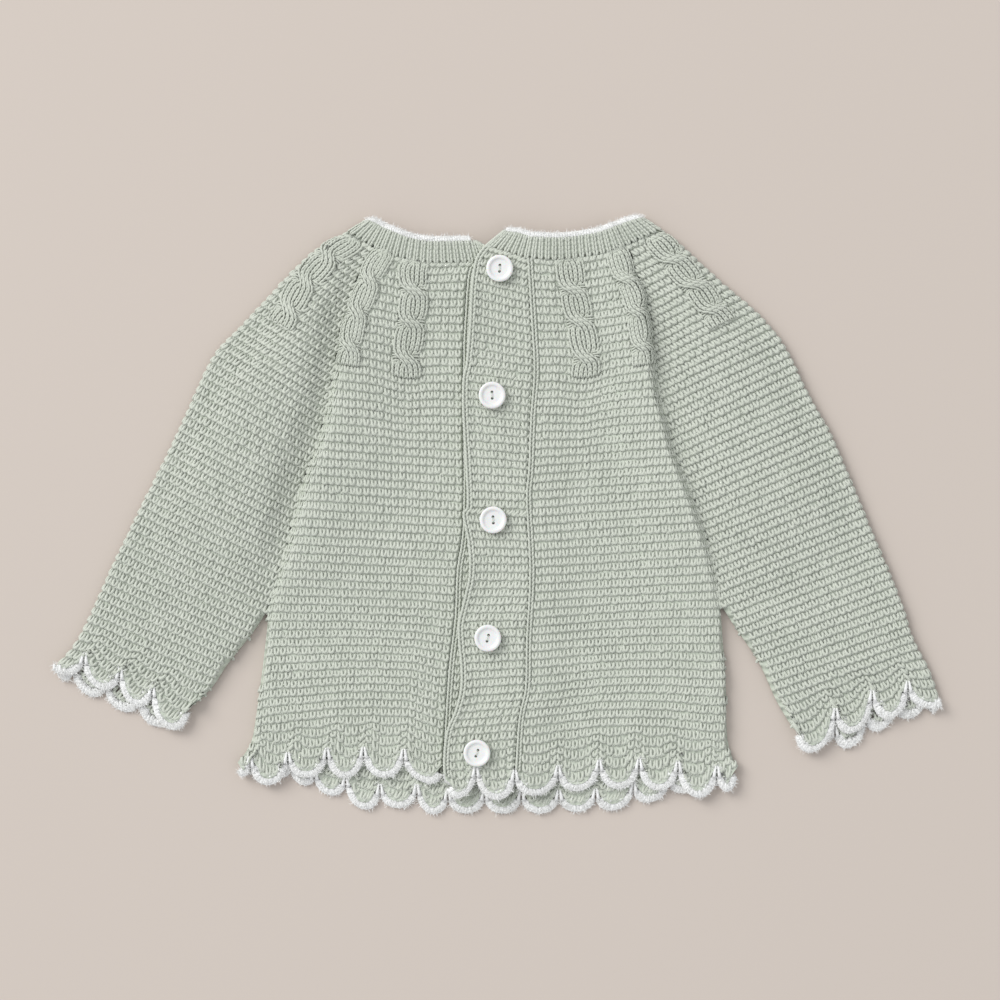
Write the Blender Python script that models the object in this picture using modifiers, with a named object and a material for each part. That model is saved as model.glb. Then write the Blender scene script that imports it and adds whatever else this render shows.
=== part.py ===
"""A knitted baby cardigan laid flat, buttoned side up, as closed solids.

Lengths are in millimetres until the meshes are made, +Y runs towards the neck and z = 0 is the
surface that the garment lies on. Every cloth piece is a wall: rows of outer points and rows of
inner points, joined by a rim. The lower layer lies on z = 0 and the upper layer just above it.
"""
import math

import bmesh
import bpy
import numpy as np

MM = 0.001

# Cloth, layers and seams
CLOTH = 2.2                 # thickness of the knitted cloth
SEAM = 0.3                  # gap between two pieces that meet
UPPER = CLOTH + SEAM        # underside of the upper layer where it lies flat
BAND_LIFT = CLOTH + SEAM    # how much higher the top band lies than the band under it
UNDER_BAND_INSET = 1.5      # the band underneath ends this far short of the right panel's seam
BAND_FLAT = 4.0             # the right panel stays this high for this far beside the band
BAND_EASE = 22.0            # and comes down over this width

# Folds and creases
ROLL_HEIGHT = 5.2           # the body swells this much beside the crease at the sleeve
ROLL_RISE = 2.6             # how quickly it swells
ROLL_REACH = 27.0           # how far the swelling runs into the panel
ROLL_AT_NECK = 0.28         # share of the swelling at the neck, growing over the first part of the edge
ROLL_GROWTH = 0.15
ROLL_BELOW = 0.2            # share of it left below the underarm
UNDERARM_LEAD = 0.20        # it starts to fade this share of the edge before the underarm
UNDERARM_EASE = 0.26
HEM_START = 0.90            # every swelling fades from this share of the edge down to the hem
HEM_EASE = 0.06
# The sleeve rises this much away from the crease, and how quickly, on the left (-1) and right (+1)
SLEEVE_HUMP = {-1: 6.0, 1: 4.6}
HUMP_RISE = {-1: 11.0, 1: 15.0}
HUMP_LEAD = 0.20            # the rise starts to fade this share of the sleeve before the underarm
HUMP_EASE = 0.27
HUMP_AT_NECK = 0.3          # share of the rise at the neck, growing over the first part of the sleeve
HUMP_GROWTH = 0.12
HUMP_FALL = 12.0            # how close to the outer edge the rise dies out
TUBE_HUMP = 1.1             # the sleeve rises this much below the underarm
SIDE_FOLD = 4.0             # width of the rounded fold at the side and under the sleeve
OUTER_FOLD = 3.0            # width of the rounded fold at the sleeve's outer edge
FOLD_LIFT = 0.5             # how much higher the sleeve lies at its outer fold
FOLD_LIFT_REACH = 10.0
FOLD_EASE = 0.03            # share of an edge over which it turns from an open edge into a fold
FOLD_END = 0.01
TUBE_EASE = 0.06            # share of the sleeve over which it becomes a closed tube
CUFF_SLIP = 1.5             # the sleeve's lower layer reaches this much further at the cuff
SLIP_START = 0.8            # it slips from this share of the sleeve down to the cuff
HEM_STRIP = 5.8             # the last plain row lies this far above the scallops' base line
CUFF_STRIP = 8.0

# White crochet edging
EDGING = 3.0                # width of the white edge along each scallop
NECK_EDGING = 2.7
CUSP_RISE = 1.2             # the edge rises into the cloth at each cusp by this times its width
LOBE_ANGLES = (20, 55, 90, 125, 160)
LEAST_DEPTH = 0.3           # a lobe moved inwards keeps at least this share of its depth
LEAST_WIDTH = 0.2           # and of its width

# Neckband
RIB_DEPTH = 9.3
RIB_PITCH = 3.25
RIB_RELIEF = 0.6
RIB_SIDE = -0.5             # faces that point down more than this get no ribs
BEND_LIMIT = 0.08           # the edging leaves out points that its line misses by less than this
BEND_SPAN = 5               # and keeps at least one point in so many

# Cables: two strands that cross
CABLE_HALF = 6.6
CABLE_PITCH = 15.7
CABLE_SWING = 3.2
STRAND = 2.4
CABLE_RELIEF = 1.0
CABLE_LENGTH = 54.0
CABLE_START = 3.0           # a cable grows over this length at the neck
CABLE_END = 4.0             # and fades over this length at its end
SLEEVE_CABLE_DROP = 4.0     # the sleeve's cable starts this much lower than the body's
SLEEVE_CABLE_LIMITS = (0.3, 0.8)    # where its centre may lie across the sleeve's flat part
CABLE_FIT = 0.95            # it keeps within this share of the room beside it
CABLE_STEPS = (-1, -0.5, 0, 0.5, 1)

# Buttons: radius and height of each point of the turned profile, from the dish round to the back
BUTTON_RADIUS = 6.25
BUTTON_PROFILE = ((0.0, 1.7), (3.5, 1.7), (4.5, 2.4), (5.6, 2.5), (BUTTON_RADIUS, 1.7), (5.8, 0.5),
                  (4.4, 0.0), (0.0, 0.0))
BUTTON_STEPS = 16
HOLE_RADIUS = 0.75
HOLE_SIDES = 8
HOLE_DEPTH = 10.0
HOLE_OFFSET = 1.45
WELD = 0.01                 # points of the profile closer than this to the axis are joined

# Colours as linear red, green and blue
GREEN = (0.49, 0.53, 0.45)
WHITE = (0.84, 0.84, 0.82)
SHELL = (0.88, 0.88, 0.86)

# Rows of points down each piece, and where the points of a row lie
YOKE_ROWS = 14
BODY_ROWS = 15
SLEEVE_ROWS = 16
BACK_YOKE_ROWS = 20
BACK_BODY_ROWS = 7
BACK_COLUMNS = 7
BAND_ROWS = 22
BAND_COLUMNS = (0.0, 0.3, 0.65, 1.0)
WAVE_WIDTH = 0.35           # share of the band's width that a wave of its edge takes
CURL_STEPS = (0.0, 0.5, 2.0, SIDE_FOLD)             # distances from a folded edge
PANEL_STEPS = (13.0, 10.0, 7.0, *CURL_STEPS[::-1])
FOLD_TURNS = (90, 45, 0, -45, -90)                  # degrees round the sleeve's outer fold
UNDER_COLUMNS = (1 / 3, 2 / 3)                      # across the sleeve's lower layer
NECK_BEND = 0.35            # rows follow the neck line less and less over this share of a panel
HEM_BEND = 0.6              # and the hem line more and more from this share on
BACK_BEND = 0.5
SLOPE_STEP = 0.01           # share of the sleeve over which its direction is taken

# Plan lines, x and y, from the neck downwards
CREASE_LEFT = ((-57.5, 125), (-62.5, 117.5), (-66.5, 107), (-69.5, 98.5), (-72.5, 89.5), (-74.5, 77),
               (-76, 67.5), (-82, 39.5), (-91.5, 12), (-98.5, -16), (-106.5, -44))
CREASE_RIGHT = ((60.5, 126), (64.5, 113.5), (69, 103.5), (70.5, 95), (72.5, 83.5), (74, 68),
                (75.5, 55.5), (79, 44), (82.5, 30), (92, 5.5), (100, -20.5), (103.5, -41.5))
SIDE_LEFT = ((-106.5, -44), (-107, -52), (-109.5, -73.5), (-113, -99), (-115, -108.5), (-120.5, -118))
SIDE_RIGHT = ((103.5, -41.5), (104.5, -56), (106, -76), (106.5, -101), (108, -111), (111, -120.5))
UNDERARM_LEFT = ((-106.5, -44), (-113.5, -54.5), (-125, -69), (-133, -81), (-142.5, -91))
UNDERARM_RIGHT = ((103.5, -41.5), (110.5, -52.5), (121, -68), (129.5, -86.5), (138, -102))
OUTER_LEFT = ((-69, 132), (-82, 125), (-91.5, 117), (-99.5, 109), (-109, 98.5), (-119, 88), (-130, 76.5),
              (-136.5, 65), (-148, 39.5), (-161.5, 12), (-177.5, -20.5), (-192.5, -53), (-202.5, -64.5))
OUTER_RIGHT = ((75.5, 133), (84.5, 126), (103, 109), (120.5, 94), (133, 79), (144.5, 56), (156, 35),
               (171.5, -2), (187, -39), (192, -55), (200, -70.5), (203, -80))
SEAM_LEFT = ((-10, 118), (-13.5, 112.5), (-15, 95.5), (-16, 70.5), (-16, 0.5), (-19, -26),
             (-20, -47.5), (-22.5, -69), (-24, -90), (-25.5, -119.5))
SEAM_RIGHT = ((13.5, 119.5), (15.5, 87.5), (16.5, 66.5), (15, 46), (14, 21), (13, 7.5), (14.5, -26),
              (13, -58), (12.5, -79.5), (9.5, -95), (8, -122))
BAND_EDGE = ((-4.7, 125.4), (-7.6, 122.5), (-10.3, 117.5), (-12, 106.5), (-13, 87.5), (-14.5, 70.5),
             (-16, 62.5), (-16, 46), (-14, 7), (-16, 0.5), (-13.5, -13), (-13, -26), (-15, -37),
             (-18, -49.5), (-18, -58), (-17, -69), (-17, -79.5), (-19.5, -90), (-23.5, -100),
             (-24.8, -112), (-24.5, -120), (-23.5, -126))
NECK_LEFT = ((-10, 118), (-31.5, 117.5), (-45, 120), (-57.5, 125))
NECK_RIGHT = ((13.5, 119.5), (29, 119), (47.5, 121.5), (60.5, 126))
NECK_BACK = ((-57.5, 125), (-49, 108), (-27, 94), (1, 89), (29, 94), (52, 108), (60.5, 126))

# Scallops: cusp x, cusp y, and the depth of the lobe that follows it
HEM_LEFT = ((-25.5, -119.5, 7.5), (-43.5, -112.5, 9.5), (-62, -111.5, 10), (-79, -112, 8.5),
            (-97, -114, 10), (-114.5, -116, 4), (-120.5, -118, 0))
HEM_UNDER = ((10.5, -116, 8), (-7.5, -116, 8), (-25.5, -119.5, 0))
HEM_BAND = ((-23.5, -126, 7.5), (-10, -120, 10.5), (8, -122, 0))
HEM_RIGHT = ((8, -122, 8.5), (28, -120, 9), (47, -117.5, 9.5), (65.5, -117, 10), (83.5, -118, 11.5),
             (101.5, -120.5, 7.5), (111, -120.5, 0))
HEM_BACK = ((-120.5, -118, 3), (-109, -116, 4.5), (-96, -118.5, 5), (-85, -122, 6.5), (-70.5, -125, 9.5),
            (-54.5, -129, 7), (-37.5, -129, 8.5), (-23, -131.5, 7), (-6, -131.5, 7), (11, -131.5, 7),
            (28.5, -131.5, 6.5), (45.5, -131, 7.5), (63, -128, 7), (79.5, -124.5, 6),
            (95.5, -121, 5), (111, -120.5, 0))
CUFF_LEFT = ((-202.5, -64.5, 9), (-191.5, -68, 9), (-175, -75, 9), (-160, -83, 12), (-142.5, -91, 0))
CUFF_LEFT_UNDER = ((-202.5, -66, 9), (-197, -72.5, 7), (-182, -80.5, 6.7), (-166.5, -87.5, 7.2),
                   (-151.5, -93.5, 4), (-142.5, -91, 0))
CUFF_RIGHT = ((203, -80, 9.5), (190, -81, 11), (173.5, -85.5, 11), (156.5, -93.5, 11.5), (138, -102, 0))
CUFF_RIGHT_UNDER = ((203, -81.5, 9.5), (199, -85, 7), (184.5, -89.5, 7.4), (171, -95.5, 9),
                    (156.5, -102, 4.2), (138, -102, 0))
HEM_DROP = (0.0, -1.0)
CUFF_DROP_LEFT = (-0.12, -0.99)
CUFF_DROP_RIGHT = (0.03, -1.0)

# Lean of the ribs at each x, in degrees from +Y towards +X
LEAN_LEFT = ((-69, 58), (-57.5, 27), (-45, 12), (-31, 2), (-18, -8), (-8, -16), (-4, -30), (0, -45),
             (4, -56), (11.5, -64))
LEAN_BACK = ((-69, 58), (-49, 51), (-27, 29), (1, 0), (29, -29), (52, -51), (75, -57))
LEAN_RIGHT = ((-4.7, 51), (5, 28), (13, 12), (20, 3), (47, -8), (60, -27), (75, -57))

# Cables: distance down from the neck, and the centre's distance from the seam or the outer edge
CABLE_FRONT_LEFT = ((0, 26.5), (18, 23.5), (32, 24.0), (46, 26.0), (56, 26.0))
CABLE_FRONT_RIGHT = ((0, 19.0), (14, 20.0), (30, 22.5), (46, 24.5), (56, 24.0))
CABLE_SLEEVE_LEFT = ((0, 5.5), (20, 7.0), (38, 9.0), (52, 12.5), (70, 16.0))
CABLE_SLEEVE_RIGHT = ((0, 5.5), (20, 8.5), (38, 11.0), (52, 15.0), (70, 19.0))
EDGE_CABLE = 6.0            # centre of the cable beside the crease, from the crease
FIRST_CROSSING = 15.0

# Stretches of the top band's free edge that lift off: centre y, half length, lift
BAND_WAVES = ((92, 22, 1.3), (-28, 14, 1.0), (-84, 18, 1.2))

# Buttons: x, y, turn of the two holes from upright
BUTTONS = ((1, 114, -4), (-2.5, 55.5, 2), (-2, -2, 3), (-4.5, -56.5, -14), (-9.5, -109.5, -20))


def smooth(value):
    """Ease from 0 to 1 while value runs from 0 to 1."""
    clipped = np.clip(value, 0.0, 1.0)
    return clipped * clipped * (3.0 - 2.0 * clipped)


def dense(points, per_span=24):
    """Catmull-Rom curve through the points, as a dense polyline."""
    knots = np.array(points, dtype=float)
    before = np.vstack([2 * knots[0] - knots[1], knots[:-1]])
    after = np.vstack([knots[1:], 2 * knots[-1] - knots[-2]])
    slope = (after - before) / 2.0
    spans = []
    for index in range(len(knots) - 1):
        start, end = knots[index], knots[index + 1]
        step = np.linspace(0.0, 1.0, per_span, endpoint=False)[:, None]
        h00 = 2 * step**3 - 3 * step**2 + 1
        h10 = step**3 - 2 * step**2 + step
        h01 = -2 * step**3 + 3 * step**2
        h11 = step**3 - step**2
        spans.append(h00 * start + h10 * slope[index] + h01 * end + h11 * slope[index + 1])
    return np.vstack(spans + [knots[-1:]])


def joined(first, second):
    """One dense line from two tables that share a corner."""
    return np.vstack([dense(first), dense(second)[1:]])


def bends(line, tolerance, longest):
    """Indices of the points that keep a polyline within the tolerance, at most so many apart."""
    kept = [0]
    while kept[-1] < len(line) - 1:
        reach = 1
        for step in range(2, longest + 1):
            end = kept[-1] + step
            if end > len(line) - 1:
                break
            chord = line[end] - line[kept[-1]]
            chord = chord / np.linalg.norm(chord)
            between = line[kept[-1] + 1:end] - line[kept[-1]]
            off = between - (between @ chord)[:, None] * chord
            if np.linalg.norm(off, axis=1).max() > tolerance:
                break
            reach = step
        kept.append(kept[-1] + reach)
    return np.array(kept)


def length(line):
    return float(np.linalg.norm(np.diff(line, axis=0), axis=1).sum())


def at(line, fraction):
    """Points of a polyline at fractions of its length."""
    steps = np.linalg.norm(np.diff(line, axis=0), axis=1)
    along = np.concatenate([[0.0], np.cumsum(steps)]) / steps.sum()
    wanted = np.atleast_1d(fraction)
    columns = [np.interp(wanted, along, line[:, axis]) for axis in range(line.shape[1])]
    return np.stack(columns, axis=1)


def moved(line, distance):
    """The line moved sideways: to +X for a line that runs down the garment."""
    slope = np.gradient(line, axis=0)
    slope /= np.linalg.norm(slope, axis=1)[:, None]
    return line + distance * np.stack([-slope[:, 1], slope[:, 0]], axis=1)


def rope(across, along):
    """Relief of a cable: two strands that swing over each other, fading at its ends."""
    phase = (along - FIRST_CROSSING) / CABLE_PITCH + 0.5
    centre = CABLE_SWING * np.abs(np.cos(math.pi * phase))
    strands = np.exp(-((across - centre) / STRAND) ** 2) + np.exp(-((across + centre) / STRAND) ** 2)
    ends = smooth(along / CABLE_START) * smooth((CABLE_LENGTH - along) / CABLE_END)
    return CABLE_RELIEF * np.minimum(strands, 1.0) * ends


def body_roll(distance):
    """Height of the body's swelling at a distance from the crease."""
    rise = 1.0 - np.exp(-(np.maximum(distance, 0.0) / ROLL_RISE) ** 2)
    fall = np.exp(-(np.maximum(distance - SIDE_FOLD, 0.0) / ROLL_REACH) ** 2)
    return ROLL_HEIGHT * rise * fall


def roll_share(fraction, underarm):
    """Share of the swelling along the body's edge, from the neck (0) to the hem (1)."""
    from_neck = ROLL_AT_NECK + (1.0 - ROLL_AT_NECK) * smooth(fraction / ROLL_GROWTH)
    past_underarm = smooth((fraction - underarm + UNDERARM_LEAD) / UNDERARM_EASE)
    at_hem = smooth((fraction - HEM_START) / HEM_EASE)
    return from_neck * (1.0 - (1.0 - ROLL_BELOW) * past_underarm) * (1.0 - at_hem)


def fold_share(fraction, underarm, last):
    """How far an edge is folded round: not at all above the underarm or at the very end."""
    return smooth((fraction - underarm) / FOLD_EASE) * smooth((last - FOLD_END - fraction) / FOLD_EASE)


def fold_profile(distance):
    """For an edge that is folded round: which points lie in the fold, how upright each one is, and
    how far from the edge the inner face lies there."""
    turn = np.arccos(np.clip(1.0 - distance / SIDE_FOLD, 0.0, 1.0))
    return distance < SIDE_FOLD, np.sin(turn), CLOTH + (SIDE_FOLD - CLOTH) * (1 - np.cos(turn))


def band_lift(distance):
    """Lift of the right panel where it runs up onto the band under it."""
    return BAND_LIFT * (1.0 - smooth((distance - BAND_FLAT) / BAND_EASE))


def scallops(table, inset, drop, half_first=False):
    """Plan points along a row of scallops, moved inwards by the inset."""
    cusps = np.array([row[:2] for row in table], dtype=float)
    down = np.array(drop)
    points = []
    for index in range(len(table) - 1):
        start, end = cusps[index], cusps[index + 1]
        depth = max(table[index][2] - inset, LEAST_DEPTH * table[index][2])
        angles = np.radians(LOBE_ANGLES)
        if half_first and index == 0:
            middle, half = start, end - start
            angles = angles[len(angles) // 2:]
        else:
            middle, half = (start + end) / 2.0, (end - start) / 2.0
            points.append(start - down * inset * CUSP_RISE)
        narrowed = max(1.0 - inset / np.linalg.norm(half), LEAST_WIDTH)
        for angle in angles:
            points.append(middle - math.cos(angle) * half * narrowed + math.sin(angle) * depth * down)
    points.append(cusps[-1] - down * inset * CUSP_RISE)
    return np.array(points)


def lifted(plan, height):
    """Plan points with a height, a number or one for each point."""
    return np.column_stack([plan, np.broadcast_to(height, len(plan))])


def pair_faces(lower, upper, first_lower, first_upper, matches=()):
    """Faces between two rows; rows of unlike length are zipped by distance along them.

    matches holds pairs of points, one in each row, that the zip has to join.
    """
    if matches:
        faces, i, j = [], 0, 0
        for match_lower, match_upper in (*matches, (len(lower) - 1, len(upper) - 1)):
            faces += pair_faces(lower[i:match_lower + 1], upper[j:match_upper + 1],
                                first_lower + i, first_upper + j)
            i, j = match_lower, match_upper
        return faces
    if len(lower) == len(upper):
        count = len(lower) - 1
        return [(first_lower + i, first_lower + i + 1, first_upper + i + 1, first_upper + i)
                for i in range(count)]
    shares = []
    for row in (lower, upper):
        steps = np.linalg.norm(np.diff(row, axis=0), axis=1)
        shares.append(np.concatenate([[0.0], np.cumsum(steps)]) / steps.sum())
    faces, i, j = [], 0, 0
    while i < len(lower) - 1 or j < len(upper) - 1:
        step_lower = j == len(upper) - 1 or (i < len(lower) - 1 and shares[0][i + 1] <= shares[1][j + 1])
        if step_lower:
            faces.append((first_lower + i, first_lower + i + 1, first_upper + j))
            i += 1
        else:
            faces.append((first_lower + i, first_upper + j + 1, first_upper + j))
            j += 1
    return faces


def make_material(name, colour, roughness):
    material = bpy.data.materials.new(name)
    material.use_nodes = True
    shader = material.node_tree.nodes["Principled BSDF"]
    shader.inputs["Base Color"].default_value = (*colour, 1.0)
    shader.inputs["Roughness"].default_value = roughness
    shader.inputs["Metallic"].default_value = 0.0
    material.diffuse_color = (*colour, 1.0)
    return material


def wall(name, outer_rows, inner_rows, colour, matches=()):
    """A closed cloth wall from rows of outer points and the matching rows of inner points."""
    firsts = np.concatenate([[0], np.cumsum([len(row) for row in outer_rows])]).astype(int)
    total = int(firsts[-1])
    outside = []
    for index in range(len(outer_rows) - 1):
        last_pair = index == len(outer_rows) - 2
        outside += pair_faces(outer_rows[index], outer_rows[index + 1],
                              int(firsts[index]), int(firsts[index + 1]), matches if last_pair else ())
    inside = [tuple(total + corner for corner in reversed(face)) for face in outside]
    loop = list(range(firsts[0], firsts[1]))
    loop += [int(firsts[index + 1]) - 1 for index in range(1, len(outer_rows) - 1)]
    loop += list(range(int(firsts[-1]) - 1, int(firsts[-2]) - 1, -1))
    loop += [int(firsts[index]) for index in range(len(outer_rows) - 2, 0, -1)]
    rim = []
    for here, there in zip(loop, loop[1:] + loop[:1]):
        low, high = int(min(here, there)), int(max(here, there))
        rim += [(low, high, high + total), (low, high + total, low + total)]
    points = np.vstack(list(outer_rows) + list(inner_rows)) * MM
    mesh = bpy.data.meshes.new(name)
    mesh.from_pydata(points.tolist(), [], outside + inside + rim)
    work = bmesh.new()
    work.from_mesh(mesh)
    bmesh.ops.recalc_face_normals(work, faces=work.faces)
    work.to_mesh(mesh)
    work.free()
    mesh.shade_smooth()
    mesh.set_sharp_from_angle(angle=math.radians(50))
    node = bpy.data.objects.new(name, mesh)
    mesh.materials.append(make_material(name + "_cloth", colour, 0.9))
    cardigan.objects.link(node)


# Front panels: rows run from the centre seam to the crease or the side


def front_panel(name, seam, edge, underarm, neck, scallop_table, cable, side, band):
    """One buttoned panel. side is +1 on the right and -1 on the left; band lifts its seam edge."""
    centre = moved(dense(seam), side * SEAM / 2)
    outer_line = moved(edge, -side * SEAM / 2)
    neck_line = dense(neck)
    base = np.array([row[:2] for row in scallop_table], dtype=float)
    panel_length = length(centre)
    last = 1.0 - HEM_STRIP / panel_length
    yoke_end = CABLE_LENGTH / panel_length
    fractions = np.concatenate([np.linspace(0.0, yoke_end, YOKE_ROWS),
                                np.linspace(yoke_end, last, BODY_ROWS + 1)[1:]])
    cable_down, cable_in = np.array(cable).T

    def place(fraction, across):
        """Plan point on the panel: straight rows, bent to the neck line and the hem line."""
        start, end = at(centre, fraction), at(outer_line, fraction)
        share = across[:, None]
        rows = start * (1 - share) + end * share
        top = at(neck_line, across) + (1 - share) * (at(centre, 0) - neck_line[0])
        top = top + share * (at(outer_line, 0) - neck_line[-1])
        flat_top = at(centre, 0) * (1 - share) + at(outer_line, 0) * share
        flat_base = at(centre, 1) * (1 - share) + at(outer_line, 1) * share
        rows = rows + (top - flat_top) * (1 - smooth(fraction / NECK_BEND))
        return rows + (at(base, across) - flat_base) * smooth((fraction - HEM_BEND) / (1 - HEM_BEND))

    def heights(fraction, width, from_seam):
        from_edge = width - from_seam
        folded = fold_share(fraction, underarm, last)
        reach = from_edge * (1 - folded) + np.maximum(from_edge, SIDE_FOLD) * folded
        top = UPPER + CLOTH + body_roll(reach) * roll_share(fraction, underarm)
        if band:
            top = top + band_lift(from_seam)
        return top

    outer_rows, inner_rows = [], []
    for fraction in fractions:
        width = float(np.linalg.norm(at(centre, fraction) - at(outer_line, fraction)))
        down = fraction * panel_length
        middle = float(np.interp(down, cable_down, cable_in))
        from_seam = [0.0, (middle - CABLE_HALF) / 2]
        from_seam += [middle + CABLE_HALF * step for step in CABLE_STEPS]
        edge_steps = [width - step for step in PANEL_STEPS]
        from_seam += [(from_seam[-1] + edge_steps[0]) / 2] + edge_steps
        from_seam = np.array(from_seam)
        from_edge = width - from_seam
        top = heights(fraction, width, from_seam)
        inside = top - CLOTH
        folded = float(fold_share(fraction, underarm, last))
        outer_plan, inner_plan = from_edge.copy(), from_edge.copy()
        if folded > 0.0:
            near, swing, turned_in = fold_profile(from_edge)
            half_height = top / 2
            round_top = np.maximum(half_height * (1 + swing), half_height + SEAM / 2)
            round_in = np.maximum(half_height + (half_height - CLOTH) * swing, half_height + SEAM / 2)
            top = np.where(near, top * (1 - folded) + round_top * folded, top)
            inside = np.where(near, inside * (1 - folded) + round_in * folded, inside)
            inner_plan = np.where(near, from_edge * (1 - folded) + turned_in * folded, from_edge)
        relief = rope(from_seam - middle, down)
        relief = np.maximum(relief, rope(from_edge - EDGE_CABLE, down))
        if folded > 0.0:
            relief = relief * 0.0
        outer_rows.append(lifted(place(fraction, 1 - outer_plan / width), top + relief))
        inner_rows.append(lifted(place(fraction, 1 - inner_plan / width), inside))
    hem = scallops(scallop_table, EDGING + SEAM, HEM_DROP)
    hem[0, 0] += side * SEAM / 2
    hem_top = UPPER + CLOTH + (band_lift(side * (hem[:, 0] - base[0, 0])) if band else 0.0)
    outer_rows.append(lifted(hem, hem_top))
    inner_rows.append(lifted(hem, hem_top - CLOTH))
    wall(name, outer_rows, inner_rows, GREEN)
    return outer_rows[0], inner_rows[0]


# Sleeves: each row runs over the top layer, round the outer edge and back under


def sleeve(name, inner_edge, outer_edge, underarm, cuff, cuff_under, drop, cable, side):
    """One sleeve, a single sheet folded round its outer edge, with its two edges 0.3 mm apart."""
    inner_line = moved(inner_edge, side * SEAM / 2)
    outer_line = dense(outer_edge)
    sleeve_length = length(outer_line)
    last = 1.0 - CUFF_STRIP / sleeve_length
    yoke_end = (CABLE_LENGTH + SLEEVE_CABLE_DROP) / sleeve_length
    fractions = np.concatenate([np.linspace(0.0, yoke_end, YOKE_ROWS),
                                np.linspace(yoke_end, last, SLEEVE_ROWS + 1)[1:]])
    cable_down, cable_in = np.array(cable).T
    turns = np.radians(FOLD_TURNS)
    outer_rows, inner_rows = [], []
    for fraction in fractions:
        start, end = at(inner_line, fraction)[0], at(outer_line, fraction)[0]
        width = float(np.linalg.norm(end - start))
        across = (end - start) / width
        down = fraction * sleeve_length
        flat = width - SIDE_FOLD - OUTER_FOLD
        middle = flat - (float(np.interp(down, cable_down, cable_in)) - OUTER_FOLD)
        least, most = SLEEVE_CABLE_LIMITS
        middle = float(np.clip(middle, least * flat, most * flat))
        half = CABLE_FIT * min(CABLE_HALF, middle, flat - middle)
        cable_places = [SIDE_FOLD + middle + half * step for step in CABLE_STEPS]
        top_in = np.array([*CURL_STEPS, *cable_places])
        folded = float(fold_share(fraction, underarm, last))
        tube = float(smooth((fraction - underarm) / TUBE_EASE))
        rest = float(1 - smooth((fraction - HEM_START) / (last - HEM_START)))
        reach = top_in * (1 - folded) + np.maximum(top_in, SIDE_FOLD) * folded
        fading = float(smooth((fraction - underarm + HUMP_LEAD) / HUMP_EASE))
        humps = (1 - fading) * SLEEVE_HUMP[side] * (1 - np.exp(-(reach / HUMP_RISE[side]) ** 2))
        humps = humps + tube * TUBE_HUMP * (1 - np.exp(-(reach / SIDE_FOLD) ** 2))
        from_outer = width - top_in
        humps = humps * (1 - np.exp(-(from_outer / HUMP_FALL) ** 2))
        fold_rise = FOLD_LIFT * np.exp(-(from_outer / FOLD_LIFT_REACH) ** 2)
        at_neck = HUMP_AT_NECK + (1 - HUMP_AT_NECK) * float(smooth(fraction / HUMP_GROWTH))
        top = UPPER + CLOTH + (humps * at_neck + fold_rise) * rest
        inside = top - CLOTH
        inner_in = top_in
        far = width - OUTER_FOLD
        between = [far + (SIDE_FOLD - far) * share for share in UNDER_COLUMNS]
        bottom_in = np.array([*between, *CURL_STEPS[::-1]])
        bottom = np.zeros(len(bottom_in))
        bottom_inside = np.full(len(bottom_in), CLOTH)
        bottom_inner_in = bottom_in
        if folded > 0.0:
            half_height = top[len(CURL_STEPS) - 1] / 2
            near, swing, turned = fold_profile(top_in)
            round_top = np.maximum(half_height * (1 + swing), half_height + SEAM / 2)
            round_in = np.maximum(half_height + (half_height - CLOTH) * swing, half_height + SEAM / 2)
            top = np.where(near, top * (1 - folded) + round_top * folded, top)
            inside = np.where(near, inside * (1 - folded) + round_in * folded, inside)
            inner_in = np.where(near, top_in * (1 - folded) + turned * folded, top_in)
            near, swing, turned = fold_profile(bottom_in)
            round_low = np.minimum(half_height * (1 - swing), half_height - SEAM / 2)
            round_low_in = np.minimum(half_height - (half_height - CLOTH) * swing, half_height - SEAM / 2)
            bottom = np.where(near, round_low * folded, 0.0)
            bottom_inside = np.where(near, CLOTH * (1 - folded) + round_low_in * folded, CLOTH)
            bottom_inner_in = np.where(near, bottom_in * (1 - folded) + turned * folded, bottom_in)
        relief = rope((top_in - SIDE_FOLD - middle) * CABLE_HALF / half, down - SLEEVE_CABLE_DROP)
        fold_top = float(UPPER + CLOTH + FOLD_LIFT * rest)
        fold_out = OUTER_FOLD * (1 - np.cos(turns))
        fold_out_in = CLOTH + (OUTER_FOLD - CLOTH) * (1 - np.cos(turns))
        fold_z = fold_top / 2 * (1 + np.sin(turns))
        fold_z_in = fold_top / 2 + (fold_top / 2 - CLOTH) * np.sin(turns)
        out_distance = np.concatenate([top_in, width - fold_out, bottom_in])
        in_distance = np.concatenate([inner_in, width - fold_out_in, bottom_inner_in])
        out_height = np.concatenate([top + relief, fold_z, bottom])
        in_height = np.concatenate([inside, fold_z_in, bottom_inside])
        ahead = at(outer_line, fraction + SLOPE_STEP)[0] - at(outer_line, fraction - SLOPE_STEP)[0]
        slipped = float(smooth((fraction - SLIP_START) / (1 - SLIP_START)))
        slip = CUFF_SLIP * slipped * ahead / np.linalg.norm(ahead)
        under = np.concatenate([np.zeros(len(top_in)), (1 - np.sin(turns)) / 2, np.ones(len(bottom_in))])
        plan_out = start + out_distance[:, None] * across + under[:, None] * slip
        plan_in = start + in_distance[:, None] * across + under[:, None] * slip
        outer_rows.append(lifted(plan_out, out_height))
        inner_rows.append(lifted(plan_in, in_height))
    hem_out, hem_in, tip = cuff_row(cuff, cuff_under, EDGING + SEAM, drop)
    outer_rows.append(hem_out)
    inner_rows.append(hem_in)
    matches = [(len(top_in) + step, tip + step) for step in range(len(turns))]
    wall(name, outer_rows, inner_rows, GREEN, matches)
    return outer_rows[0], inner_rows[0]


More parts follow.
